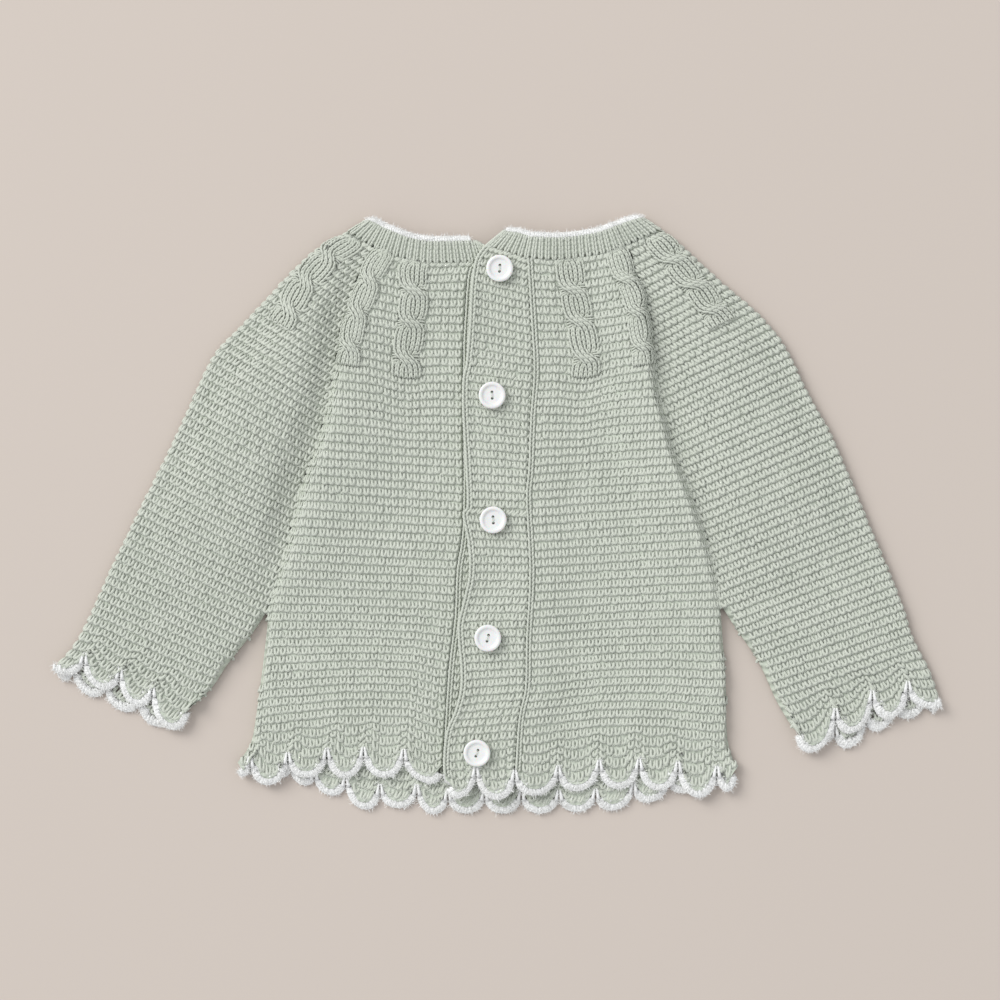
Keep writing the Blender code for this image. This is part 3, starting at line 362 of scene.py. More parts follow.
def tubes(paths, out, radii, sides=4):
    """Lengths of yarn: rings of points square to each path, with flat ends. Returns points, quads
    and, for each corner, the distance along the yarn and the share round it."""
    slope = np.gradient(paths, axis=1)
    slope /= np.linalg.norm(slope, axis=-1, keepdims=True)
    side = np.cross(slope, out)
    side /= np.linalg.norm(side, axis=-1, keepdims=True)
    up = np.cross(side, slope)
    turn = np.arange(sides) * 2 * math.pi / sides
    radii = np.broadcast_to(radii, paths.shape[:2])[:, :, None, None]
    ring = np.cos(turn)[:, None] * side[:, :, None] + SQUASH * np.sin(turn)[:, None] * up[:, :, None]
    points = paths[:, :, None] + ring * radii
    copies, rings = paths.shape[:2]
    index = np.arange(copies * rings * sides).reshape(copies, rings, sides)
    turned = np.roll(index, -1, axis=2)
    quads = np.stack([index[:, :-1], index[:, 1:], turned[:, 1:], turned[:, :-1]], axis=-1)
    steps = np.linalg.norm(np.diff(paths, axis=1), axis=-1)
    along = np.concatenate([np.zeros((copies, 1)), np.cumsum(steps, axis=1)], axis=1)[:, :, None]
    along = np.broadcast_to(along, (copies, rings, sides))
    round_it = np.broadcast_to(np.arange(sides) / sides, (copies, rings - 1, sides))
    uv = np.stack([np.stack([along[:, :-1], round_it], -1), np.stack([along[:, 1:], round_it], -1),
                   np.stack([along[:, 1:], round_it + 1 / sides], -1),
                   np.stack([along[:, :-1], round_it + 1 / sides], -1)], axis=3)
    ends = [index[:, 0][:, [0, first, first + 1, first + 2]] for first in range(1, sides - 2, 2)]
    ends += [index[:, -1][:, [first + 2, first + 1, first, 0]] for first in range(1, sides - 2, 2)]
    caps = np.concatenate(ends)
    return (points.reshape(-1, 3), np.vstack([quads.reshape(-1, 4), caps]),
            np.vstack([uv.reshape(-1, 2), np.zeros((4 * len(caps), 2))]))


def yarn_piece(name, parts, material):
    """One mesh from several lots of yarn."""
    firsts = np.cumsum([0] + [len(part[0]) for part in parts[:-1]])
    return put(name, on_table(np.vstack([part[0] for part in parts])),
               np.vstack([part[1] + first for part, first in zip(parts, firsts)]), material,
               np.vstack([part[2] for part in parts]))


# A garter stitch seen from the front. Each loop hangs from under the ridge above, rises as it comes
# down and is highest at its foot; a sunken link joins it to the next loop. Between the two legs of a
# loop is a short slit. Columns are across (stitches), down (ridges) and out (mm).
GARTER_LOOP = ((0.25, -0.06, -0.95), (0.235, 0.24, -0.42), (0.30, 0.58, -0.32), (0.50, 0.66, -0.28),
               (0.70, 0.58, -0.32), (0.765, 0.24, -0.42), (0.75, -0.06, -0.95))
GARTER_LINK = ((0.77, 0.86, -0.95), (0.86, 0.68, -0.66), (1.00, 0.54, -0.55), (1.14, 0.68, -0.66),
               (1.23, 0.86, -0.95))
YARN = 0.76                 # radius of the cotton yarn
LOOP_SWELL = np.array((0.88, 1.0, 1.12, 1.26, 1.12, 1.0, 0.88))
LINK_SWELL = np.array((0.85, 0.95, 1.0, 0.95, 0.85))
LEG_LEAN = -0.05            # the legs lean by this share of a stitch over a ridge
PINCH = 0.06                # in stretched cloth the legs stand this share of a stitch further apart
THINNING = 0.06             # and the yarn is this share thinner


def garter(surface, down, across, flip, seed=1, height=RIDGE, width=STITCH, stretch=0.0):
    """Garter stitches with their upper left corners at the given places on a surface. Stretch, from
    0 to 1, is a number or one for each stitch: it thins the yarn and opens the slits."""
    stretch = np.broadcast_to(stretch, down.shape)[:, None]
    loop = np.broadcast_to(np.array(GARTER_LOOP), (len(down), len(GARTER_LOOP), 3)).copy()
    loop[:, :, 0] += np.sign(loop[:, :, 0] - 0.5) * PINCH / 2 * stretch + LEG_LEAN * (loop[:, :, 1] - 0.4)
    loops = laid(surface, loop * (width, height, 1.0), down, across, flip, seed)
    links = laid(surface, np.array(GARTER_LINK) * (width, height, 1.0), down, across, flip, seed + 1)
    thin = 1.0 - THINNING * stretch
    return [tubes(*loops, YARN * LOOP_SWELL * thin), tubes(*links, YARN * LINK_SWELL * thin)]


PATCHES_A_METRE, FIBRES_A_METRE = 90.0, 1500.0          # scales of the uneven dye and of the fibres
PLIES, TWIST = 2, 0.8       # strands twisted together, and their turns to a millimetre
PLY_DEPTH, FIBRE_DEPTH = 0.15, 0.2


def cotton(name, light, dark, fuzz):
    """Mercerised cotton yarn, two-ply: soft sheen, each ply a slanting ridge round the yarn, fine
    fibres, and a dye that took up a little unevenly."""
    material, shader = new_material(name, Roughness=0.9, Sheen_Weight=0.4, Sheen_Roughness=0.6,
                                    Specular_IOR_Level=0.15)
    place = add(material, "ShaderNodeTexCoord", {})
    patches = add(material, "ShaderNodeTexNoise",
                  {"Vector": (place, "Object"), "Scale": PATCHES_A_METRE, "Detail": 3.0})
    fibres = add(material, "ShaderNodeTexNoise",
                 {"Vector": (place, "Object"), "Scale": FIBRES_A_METRE, "Detail": 2.0})
    both = add(material, "ShaderNodeMath", {0: (patches, "Fac"), 1: (fibres, "Fac")}, operation="ADD")
    tinted(material, shader, (both, "Value"), dark, light, 0.75, 1.25)
    split = add(material, "ShaderNodeSeparateXYZ", {"Vector": (place, "UV")})
    slant = add(material, "ShaderNodeMath", {0: (split, "X"), 1: TWIST}, operation="MULTIPLY")
    twist = add(material, "ShaderNodeMath", {0: (slant, "Value"), 1: (split, "Y")}, operation="ADD")
    turns = add(material, "ShaderNodeMath", {0: (twist, "Value"), 1: 2 * math.pi * PLIES},
                operation="MULTIPLY")
    plies = add(material, "ShaderNodeMath", {0: (turns, "Value")}, operation="SINE")
    ply_bump = add(material, "ShaderNodeBump", {"Height": (plies, "Value"), "Strength": 0.35,
                                                "Distance": PLY_DEPTH * MM})
    bump = add(material, "ShaderNodeBump", {"Height": (fibres, "Fac"), "Strength": fuzz,
                                            "Distance": FIBRE_DEPTH * MM, "Normal": (ply_bump, "Normal")})
    material.node_tree.links.new(bump.outputs["Normal"], shader.inputs["Normal"])
    return material


sage = cotton("sage_cotton_yarn", "cfd3c6", "c6cbbd", 0.3)


def painted_shade_ground_cloth(name, light, dark):
    """The knitting behind the loops that show: the same cotton, coloured darker as painted shade, with
    the rows as a bump of one wave for each ridge and one for each stitch; the painted shade is darkest where
    the bump is low."""
    material, shader = new_material(name, Roughness=0.92, Specular_IOR_Level=0.15)
    place = add(material, "ShaderNodeTexCoord", {})
    split = add(material, "ShaderNodeSeparateXYZ", {"Vector": (place, "Object")})
    waves = []
    for axis, spacing in (("X", STITCH), ("Y", RIDGE)):
        turns = add(material, "ShaderNodeMath", {0: (split, axis), 1: 2 * math.pi / (spacing * MM)},
                    operation="MULTIPLY")
        waves.append(add(material, "ShaderNodeMath", {0: (turns, "Value")}, operation="SINE"))
    stitch_wave, ridge_wave = [(wave, "Value") for wave in waves]
    both = add(material, "ShaderNodeMath", {0: stitch_wave, 1: ridge_wave}, operation="MULTIPLY")
    loops = add(material, "ShaderNodeMath", {0: (both, "Value"), 1: 0.5, 2: ridge_wave},
                operation="MULTIPLY_ADD")
    # Painted shade: the base colour goes dark where the bump is low, between the rows and stitches
    tinted(material, shader, (loops, "Value"), dark, light, -1.2, 1.2)
    bump = add(material, "ShaderNodeBump", {"Height": (loops, "Value"), "Strength": 0.6, "Distance": 0.0006})
    material.node_tree.links.new(bump.outputs["Normal"], shader.inputs["Normal"])
    return material


# Its colours, darker than the yarn's, are painted shade for the knitting seen deep between the loops
painted_shade_ground = painted_shade_ground_cloth("sage_cotton_garter_ground_painted_shade", "ccd2c4", "bac1b2")

BACK_ROWS_SHOWN = 6         # ridges of the back that the fronts leave in sight at the hem
HALF_COLUMNS = 40           # more stitches than there is room for from the middle to a side

back_left = moved(joined(CREASE_LEFT, SIDE_LEFT), SEAM / 2)
back_right = moved(joined(CREASE_RIGHT, SIDE_RIGHT), -SEAM / 2)
back_length = length(back_left)
back_place, back_width = knitted_plan(
    back_left, back_right, dense(NECK_BACK), np.array([row[:2] for row in HEM_BACK], dtype=float),
    scallops(HEM_BACK, HEM_DROP, EDGING + SEAM), bend=(0.5, 0.5))


def back_surface(down, across):
    """Upper face of the back: flat, one thickness of cloth above the table."""
    fraction = down / back_length
    plan = back_place(fraction, across / back_width(fraction))
    return np.concatenate([plan, np.full(down.shape + (1,), CLOTH)], axis=-1)


def share_grid(width, total, rows, columns, first=0.0):
    """Grid of places on a panel: rows down its length, columns at even shares of its width."""
    down, share = np.meshgrid(np.linspace(0.0, 1.0, rows) * total, np.linspace(first, 1.0, columns),
                              indexing="ij")
    return down, share * width(down / total)


def pairs(first, second):
    """Every pair from two lists, as two flat arrays."""
    return [part.ravel() for part in np.meshgrid(first, second, indexing="ij")]


back_grid = share_grid(back_width, back_length, 45, 110)
back_cloth = shell("back_knitting", back_surface, *back_grid, -1, painted_shade_ground, sink=0.9, thick=1.25)
ridge, column = pairs(np.arange(BACK_ROWS_SHOWN), np.arange(-HALF_COLUMNS, HALF_COLUMNS))
down = back_length - (ridge + 1) * RIDGE
middle = back_width(down / back_length) / 2
across = middle + column * STITCH
shown = (across > 1.0) & (across < 2 * middle - STITCH * 1.2)
lots = garter(back_surface, down[shown], across[shown], -1, seed=11)
back_stitches = yarn_piece("back_hem_stitches", lots, sage)


# ---- Fronts --------------------------------------------------------------------------------
# Two panels of garter stitch, joined to the bands by a line of knit stitches. Each has two rope
# cables in the yoke: one below the neck and one along the crease at the sleeve.

ROLL_HEIGHT, ROLL_RISE, ROLL_REACH = 5.2, 2.6, 27.0     # swelling of the body beside the crease
ROLL_AT_NECK = 0.28
CURL_UNDER = 1.2            # slope of the cloth where it turns under past the crease
STEEP, SIDE_STEEP, STEEP_REACH = 3.6, 1.2, 5.0          # extra cloth on the steep side of the swelling
BAND_LIFT, BAND_FLAT, BAND_EASE = CLOTH + SEAM, 4.0, 22.0
NECK_EASE = 0.15            # share of a front's length over which the swelling grows from the neck
HEM_FADE_FROM, HEM_FADE = 0.90, 0.06
UNDERARM_FADE, UNDERARM_LEAD, UNDERARM_EASE = 0.8, 0.20, 0.26   # how the swelling dies out at the underarm
CABLE_LENGTH = 54.0
CABLE_PITCH = 15.7          # from one crossing to the next
FIRST_CROSSING = 15.0
CABLE_SWING = 3.3           # how far each half of a cable swings from the middle
CROSSING_SPEED = 1.8        # how quickly the halves change sides: 0 is a plain cosine
CABLE_BASE, CABLE_CROWN, CABLE_OVER, CABLE_SINK = 0.35, 0.75, 0.85, 0.35    # parts of a cable's height
CABLE_START = 6.0           # a cable rises over this length
CROSSING_SPREAD = 0.12      # the columns are this share further apart where they cross
BARE_HALF = 4.4             # no garter stitch has its middle closer to a cable's than this
BAR_HALF, BAR_PITCH = 2, 1.05                           # short level bars either side of a crossing
BAR_FROM, BAR_REACH, BAR_FAN, BAR_DROP = 2.8, 3.8, 0.5, 0.9
BAR_ROOM, CROSSING_ROOM = 6.0, 2.6                      # half width and half height that they fill
BAR_RADIUS, BAR_SWELL = 0.46, np.array((0.8, 1.0, 1.0, 0.9, 0.6))
BAR_HEIGHT = np.array((0.05, 0.15, 0.12, -0.1, -0.7))
EDGE_CABLE = 6.0            # middle of the cable beside the crease, from the crease
KNIT_WIDTH, KNIT_HEIGHT = 2.3, 1.95                     # one knit stitch, a V
CABLE_PULL, PULL_HALF = 2.6, 9.0                        # rows below a cable are drawn down this much
PULL_FROM, PULL_EASE, PULL_UNTIL, PULL_FADE = 30.0, 25.0, 56.0, 45.0

SEAM_LEFT = ((-10, 118), (-13.5, 112.5), (-15, 95.5), (-16, 70.5), (-16, 0.5), (-19, -26),
             (-20, -47.5), (-22.5, -69), (-24, -90), (-25.5, -119.5))
SEAM_RIGHT = ((13.5, 119.5), (15.5, 87.5), (16.5, 66.5), (15, 46), (14, 21), (13, 7.5), (14.5, -26),
              (13, -58), (12.5, -79.5), (9.5, -95), (8, -122))
NECK_LEFT = ((-10, 118), (-31.5, 117.5), (-45, 120), (-57.5, 125))
NECK_RIGHT = ((13.5, 119.5), (29, 119), (47.5, 121.5), (60.5, 126))
HEM_LEFT = ((-25.5, -119.5, 7.5), (-43.5, -112.5, 9.5), (-62, -111.5, 10), (-79, -112, 8.5),
            (-97, -114, 10), (-114.5, -116, 4), (-120.5, -118, 0))
HEM_RIGHT = ((8, -122, 8.5), (28, -120, 9), (47, -117.5, 9.5), (65.5, -117, 10), (83.5, -118, 11.5),
             (101.5, -120.5, 7.5), (111, -120.5, 0))
# Cables: distance down from the neck, and the middle's distance from the seam
CABLE_FRONT_LEFT = ((0, 26.5), (18, 23.5), (32, 24.0), (46, 26.0), (56, 26.0))
CABLE_FRONT_RIGHT = ((0, 19.0), (14, 20.0), (30, 22.5), (46, 24.5), (56, 24.0))
# Soft troughs in the right front: x and y of both ends, half width and depth
TROUGHS = ((47.5, 62.7, 52.0, 21.0, 6.0, 1.2), (54.4, 7.2, 66.0, -20.6, 5.5, 0.9))


def trough(plan):
    """Depth of the troughs at plan points: for each, D exp(-(r / W)^2) with r the distance to it."""
    depth = np.zeros(plan.shape[:-1])
    for x0, y0, x1, y1, half, deepest in TROUGHS:
        start, run = np.array((x0, y0)), np.array((x1 - x0, y1 - y0))
        share = np.clip(((plan - start) @ run) / (run @ run), 0.0, 1.0)
        away = np.linalg.norm(plan - start - share[..., None] * run, axis=-1)
        depth = depth + deepest * np.exp(-(away / half) ** 2)
    return depth


def interpolated(table):
    """A function that reads a table of two columns, with straight lines between its rows."""
    wanted, value = np.array(table, dtype=float).T
    return lambda place: np.interp(place, wanted, value)


def front(seam, edge, underarm, neck, hem, middle, side, on_band):
    """Surface of one front. Its height is the cloth's, plus a swelling beside the crease that rises
    as 1 - exp(-d^2) and falls as exp(-d^2), plus a step where the right panel runs onto the band."""
    centre, outer = moved(dense(seam), side * SEAM / 2), moved(edge, -side * SEAM / 2)
    total = length(centre)
    base = np.array([row[:2] for row in hem], dtype=float)
    plan, width = knitted_plan(centre, outer, dense(neck), base, scallops(hem, HEM_DROP, EDGING + SEAM))

    def surface(down, across):
        pull = np.exp(-((across - middle(down)) / PULL_HALF) ** 2)
        pull = pull * smooth((down - PULL_FROM) / PULL_EASE) * (1 - smooth((down - PULL_UNTIL) / PULL_FADE))
        fraction = (down + CABLE_PULL * pull) / total
        wide = width(fraction)
        from_edge = wide - across
        folded = fold_share(fraction, underarm)
        reach = fold_reach(from_edge, folded)
        swell = ROLL_HEIGHT * (1 - np.exp(-(reach / ROLL_RISE) ** 2))
        swell = swell * np.exp(-(np.maximum(reach - SIDE_FOLD, 0.0) / ROLL_REACH) ** 2)
        swell = swell * (ROLL_AT_NECK + (1 - ROLL_AT_NECK) * smooth(fraction / NECK_EASE))
        swell = swell * (1 - smooth((fraction - HEM_FADE_FROM) / HEM_FADE))
        swell = swell * (1 - UNDERARM_FADE * smooth((fraction - underarm + UNDERARM_LEAD) / UNDERARM_EASE))
        top = UPPER + CLOTH + swell
        if on_band:
            top = top + BAND_LIFT * (1 - smooth((across - BAND_FLAT) / BAND_EASE))
            top = np.maximum(top - trough(plan(fraction, across / wide)), UPPER + CLOTH)
        top = rounded(top, from_edge, folded) - CURL_UNDER * np.maximum(-from_edge, 0.0)
        return np.concatenate([plan(fraction, across / wide), top[..., None]], axis=-1)

    return surface, width, total


# One leg of a knit stitch, which leans from the outer top to the middle of its foot; in a rib it
# stands more upright. Columns are across and down, as shares of the stitch, and out (mm).
KNIT_LEG = ((-0.43, -0.80, -0.55), (-0.37, -0.28, -0.02), (-0.27, 0.24, 0.06), (-0.13, 0.72, -0.45))
RIB_LEG = ((-0.29, -0.85, -0.45), (-0.28, -0.28, 0.02), (-0.23, 0.26, 0.06), (-0.13, 0.80, -0.35))
LEG_SWELL = np.array((0.70, 1.0, 1.0, 0.62))


def knit_stitches(surface, down, across, flip, radius=0.54, seed=5, width=KNIT_WIDTH, leg=KNIT_LEG):
    """Knit stitches, the V of stocking stitch, with their middles at the given places."""
    return [tubes(*laid(surface, np.array(leg) * (side * width, KNIT_HEIGHT, 1.0), down, across, flip,
                        seed + order, (0.04, 0.05)), radius * LEG_SWELL)
            for order, side in enumerate((1, -1))]


def rope_cable(surface, middle, flip, lean, first=0.0, squeeze=1.0, seed=21):
    """A rope cable of six knit columns. Each half of three columns keeps to one side and then crosses
    quickly: its place is S tanh(k cos) / tanh(k). It rises as a cubed sine, so that the half that
    leans one way passes over the other."""
    lots = []
    rows = np.arange(first + 1.0, first + CABLE_LENGTH, KNIT_HEIGHT)
    for half in (0, 1):
        def strand(down, across):
            turn = math.pi * ((down - first - FIRST_CROSSING) / CABLE_PITCH + 0.5 + half)
            aside = CABLE_SWING * np.tanh(CROSSING_SPEED * np.cos(turn)) / math.tanh(CROSSING_SPEED)
            over = lean * np.sin(turn) ** 3
            crown = 1.0 - (across / (1.9 * KNIT_WIDTH)) ** 2
            spread = across * (1.0 + CROSSING_SPREAD * np.sin(turn) ** 4)
            height = CABLE_BASE + CABLE_CROWN * crown + CABLE_OVER * over
            height = height * smooth((down - first) / CABLE_START) - CABLE_SINK
            here, out = normals(surface, down, middle(down) + (aside + spread) * squeeze, flip)
            return here + out * height[..., None]

        down, across = pairs(rows, KNIT_WIDTH * np.array((-1.0, 0.0, 1.0)))
        lots += knit_stitches(strand, down, across, flip, seed=seed + half)
    return lots + purl_bars(surface, middle, flip, first, squeeze, seed + 2)


def crossings(first):
    """Distances down from the neck at which a cable's halves cross."""
    return np.arange(first + FIRST_CROSSING, first + CABLE_LENGTH, CABLE_PITCH)


def purl_bars(surface, middle, flip, first, squeeze, seed):
    """Short strands beside each crossing, where purl stitches are drawn in under the cable. They
    lie nearly level and fan out from it."""
    random = np.random.default_rng(seed)
    crossing, bar, side = [part.ravel() for part in np.meshgrid(
        crossings(first), np.arange(-BAR_HALF, BAR_HALF + 1), (-1.0, 1.0), indexing="ij")]
    share = np.linspace(0.0, 1.0, len(BAR_SWELL))
    start = crossing + bar * BAR_PITCH + random.normal(0.0, 0.12, len(bar))
    down = start[:, None] + BAR_FAN * bar[:, None] * share**2 + BAR_DROP * share**2
    across = middle(down) + squeeze * side[:, None] * (BAR_FROM + BAR_REACH * share)
    here, out = normals(surface, down, across, flip)
    return [tubes(here + out * BAR_HEIGHT[:, None], out, BAR_RADIUS * BAR_SWELL)]


def beside_cable(down, off, first, squeeze=1.0):
    """Whether a place off a cable's middle is under it, or among the bars at a crossing."""
    away = np.abs(down[:, None] - crossings(first)).min(axis=1)
    off = np.abs(off) / squeeze
    in_bars = (away < CROSSING_ROOM) & (off < BAR_ROOM)
    return (down < first + CABLE_LENGTH) & ((off < BARE_HALF) | in_bars)


EDGE_SQUEEZE = 0.82         # the cable beside the crease is this much narrower
MOST_COLUMNS = 40           # more stitches than any row of a front or sleeve has
STRETCH_FROM, STRETCH_OVER = 20.0, -70.0                # y from which the cloth looks stretched


def stretch_at(places):
    """How much the weight of the lower part has opened the stitches: none near the neck."""
    return smooth((places[:, 1] - STRETCH_FROM) / STRETCH_OVER)


def panel_stitches(surface, width, total, underarm, middle, side, seed, start):
    """Garter stitches over a front: columns are even from the seam and stop at the crease, and leave
    room for the two cables."""
    count = int(round(total / RIDGE))
    height = total / count
    ridge, column = pairs(np.arange(count), np.arange(MOST_COLUMNS))
    down, across = ridge * height, start + column * STITCH
    halfway, centre = down + height / 2, across + STITCH / 2
    wide = width(halfway / total)

    def extra(down):
        return STEEP + (SIDE_STEEP - STEEP) * smooth((down / total - underarm + 0.03) / 0.06)

    def climbed(down, across):
        """The surface with its places measured along the cloth: with a the distance along it from
        the edge, the distance in plan is a - E (1 - exp(-a / L))."""
        more = extra(down)
        along = width(down / total) + more - across
        taken_up = more * (1 - np.exp(-np.maximum(along, 0) / STEEP_REACH))
        in_plan = np.where(along > 0, along - taken_up, along)
        return surface(down, width(down / total) - in_plan)

    keep = centre < wide + extra(down) - np.where(down / total < underarm, -0.6, 0.8)
    keep &= ~beside_cable(halfway, centre - middle(halfway), 0.0)
    in_yoke = down < CABLE_LENGTH
    keep &= ~beside_cable(halfway, wide - EDGE_CABLE - centre, 0.0, EDGE_SQUEEZE)
    keep &= ~(in_yoke & (wide - centre < EDGE_CABLE))
    lots = []
    for part, laid_on in ((keep & in_yoke, surface), (keep & ~in_yoke, climbed)):
        lots += garter(laid_on, down[part], across[part], -side, seed, height,
                       stretch=stretch_at(surface(down[part], across[part])))
    return lots


def seam_column(surface, total, across, flip, seed):
    """A single column of knit stitches down a panel."""
    down = np.arange(1.0, total - 1.5, KNIT_HEIGHT)
    return knit_stitches(surface, down, np.full(len(down), across), flip, seed=seed)


def build_front(name, seam, crease, side_line, neck, hem, cable, side, on_band, seed):
    """One front: its cloth, its garter stitches and its two cables. The right one, on the band, has
    a column of knit stitches beside its seam."""
    edge, middle = joined(crease, side_line), interpolated(cable)
    underarm = length(dense(crease)) / length(edge)
    surface, width, total = front(seam, edge, underarm, neck, hem, middle, side, on_band)
    cloth = shell(f"{name}_knitting", surface, *share_grid(width, total, 84, 64), -side, painted_shade_ground)
    lots = panel_stitches(surface, width, total, underarm, middle, side, seed,
                          start=KNIT_WIDTH + 0.3 if on_band else 0.2)
    stitches = yarn_piece(f"{name}_stitches", lots, sage)

    def beside(down):
        return width(down / total) - EDGE_CABLE

    lots = rope_cable(surface, middle, -side, -side, seed=seed + 30)
    lots += rope_cable(surface, beside, -side, -side, squeeze=EDGE_SQUEEZE, seed=seed + 40)
    if on_band:
        lots += seam_column(surface, total, KNIT_WIDTH / 2 + 0.1, -side, seed + 50)
    cables = yarn_piece(f"{name}_cables", lots, sage)
    return surface, width, cloth, [stitches, cables]


left_surface, left_width, left_cloth, left_yarn = build_front(
    "front_left", SEAM_LEFT, CREASE_LEFT, SIDE_LEFT, NECK_LEFT, HEM_LEFT, CABLE_FRONT_LEFT, -1, False, 101)
right_surface, right_width, right_cloth, right_yarn = build_front(
    "front_right", SEAM_RIGHT, CREASE_RIGHT, SIDE_RIGHT, NECK_RIGHT, HEM_RIGHT, CABLE_FRONT_RIGHT, 1, True,
    201)


# ---- Sleeves -------------------------------------------------------------------------------
# Each is one sheet folded round its outer edge, tucked in at the crease. Rows run square to the
# arm, and a rope cable runs down over the shoulder.

# Height of the rise away from the crease, and how quickly it rises, on the left (-1) and right (+1)
SLEEVE_HUMP, HUMP_RISE = {-1: 6.0, 1: 4.6}, {-1: 11.0, 1: 15.0}
HUMP_FALL, HUMP_AT_NECK, HUMP_GROWS = 12.0, 0.3, 0.12
HUMP_LEAD, HUMP_EASE = 0.20, 0.27                       # how the rise dies out at the underarm
TUBE_HUMP, TUBE_EASE, OUTER_FOLD, FOLD_LIFT, LIFT_REACH = 1.1, 0.06, 3.0, 0.5, 10.0
CUFF_FROM, CUFF_STRIP = 0.90, 8.0                       # all rises end between these
CUFF_ROWS_SHOWN = 4         # ridges of the lower layer that show inside the cuff
SLEEVE_CABLE_DROP = 2.0     # the sleeve's cable starts this much lower than the body's

UNDERARM_LEFT = ((-106.5, -44), (-113.5, -54.5), (-125, -69), (-133, -81), (-142.5, -91))
UNDERARM_RIGHT = ((103.5, -41.5), (110.5, -52.5), (121, -68), (129.5, -86.5), (138, -102))
OUTER_LEFT = ((-69, 132), (-82, 125), (-91.5, 117), (-99.5, 109), (-109, 98.5), (-119, 88), (-130, 76.5),
              (-136.5, 65), (-148, 39.5), (-161.5, 12), (-177.5, -20.5), (-192.5, -53), (-202.5, -64.5))
OUTER_RIGHT = ((75.5, 133), (84.5, 126), (103, 109), (120.5, 94), (133, 79), (144.5, 56), (156, 35),
               (171.5, -2), (187, -39), (192, -55), (200, -70.5), (203, -80))
CUFF_LEFT = ((-202.5, -64.5, 9), (-191.5, -68, 9), (-175, -75, 9), (-160, -83, 12), (-142.5, -91, 0))
CUFF_LEFT_UNDER = ((-202.5, -66, 9), (-197, -72.5, 7), (-182, -80.5, 6.7), (-166.5, -87.5, 7.2),
                   (-151.5, -93.5, 4), (-142.5, -91, 0))
CUFF_RIGHT = ((203, -80, 9.5), (190, -81, 11), (173.5, -85.5, 11), (156.5, -93.5, 11.5), (138, -102, 0))
CUFF_RIGHT_UNDER = ((203, -81.5, 9.5), (199, -85, 7), (184.5, -89.5, 7.4), (171, -95.5, 9),
                    (156.5, -102, 4.2), (138, -102, 0))
CUFF_DROP_LEFT = (-0.12, -0.99)
CUFF_DROP_RIGHT = (0.03, -1.0)
# Cable: distance down from the neck, and the middle's distance from the outer edge
CABLE_SLEEVE_LEFT = ((0, 5.5), (20, 7.0), (38, 9.0), (52, 12.5), (70, 16.0))
CABLE_SLEEVE_RIGHT = ((0, 5.5), (20, 8.5), (38, 11.0), (52, 15.0), (70, 19.0))
QUARTER = 4.4               # length of cloth in a quarter turn of the outer fold


def sleeve(inner, outer, underarm, cuff, drop, side):
    """Surface of a sleeve. The place across it is measured along the cloth from the tip of the outer
    fold, and is negative on the lower layer. The fold is half an ellipse; the top layer rises away
    from the crease as 1 - exp(-d^2)."""
    total = length(outer)
    plan, width = knitted_plan(outer, inner, edge=scallops(cuff, drop, EDGING + SEAM, half_first=True))
    last = 1.0 - CUFF_STRIP / total

    def surface(down, across):
        fraction = down / total
        wide = width(fraction)
        turn = np.clip(across / QUARTER, -1.0, 1.0) * math.pi / 2
        from_outer = OUTER_FOLD * (1 - np.cos(turn)) + np.maximum(np.abs(across) - QUARTER, 0.0)
        from_crease = wide - from_outer
        folded = fold_share(fraction, underarm)
        tube = smooth((fraction - underarm) / TUBE_EASE)
        rest = 1 - smooth((fraction - CUFF_FROM) / (last - CUFF_FROM))
        reach = fold_reach(from_crease, folded)
        fading = smooth((fraction - underarm + HUMP_LEAD) / HUMP_EASE)
        humps = (1 - fading) * SLEEVE_HUMP[side] * (1 - np.exp(-(reach / HUMP_RISE[side]) ** 2))
        humps = humps + tube * TUBE_HUMP * (1 - np.exp(-(reach / SIDE_FOLD) ** 2))
        humps = humps * (1 - np.exp(-(np.maximum(from_outer - OUTER_FOLD, 0) / HUMP_FALL) ** 2))
        rise = FOLD_LIFT * np.exp(-(from_outer / LIFT_REACH) ** 2)
        at_neck = HUMP_AT_NECK + (1 - HUMP_AT_NECK) * smooth(fraction / HUMP_GROWS)
        top = rounded(UPPER + CLOTH + (humps * at_neck + rise) * rest, from_crease, folded)
        round_fold = (UPPER + CLOTH + FOLD_LIFT * rest) / 2 * (1 + np.sin(turn))
        height = np.where(np.abs(across) < QUARTER, round_fold, np.where(across > 0, top, 0.0))
        return np.concatenate([plan(fraction, from_outer / wide), height[..., None]], axis=-1)

    def reach_of(fraction):
        """Length of cloth from the tip of the outer fold to the crease."""
        return width(fraction) - OUTER_FOLD + QUARTER

    return surface, reach_of, total


def sleeve_stitches(surface, reach_of, total, underarm, middle, side, seed):
    """Garter stitches over a sleeve, from the tip of its outer fold to the crease."""
    count = int(round(total / RIDGE))
    height = total / count
    ridge, column = pairs(np.arange(count), np.arange(-1, MOST_COLUMNS))
    down, across = ridge * height, 1.2 + column * STITCH
    halfway, centre = down + height / 2, across + STITCH / 2
    limit = reach_of(halfway / total) - np.where(down / total < underarm, -1.0, 1.2)
    keep = (centre < limit) & ~beside_cable(halfway, centre - middle(halfway), SLEEVE_CABLE_DROP)
    down, across = down[keep], across[keep]
    return garter(surface, down, across, side, seed, height, stretch=stretch_at(surface(down, across)))


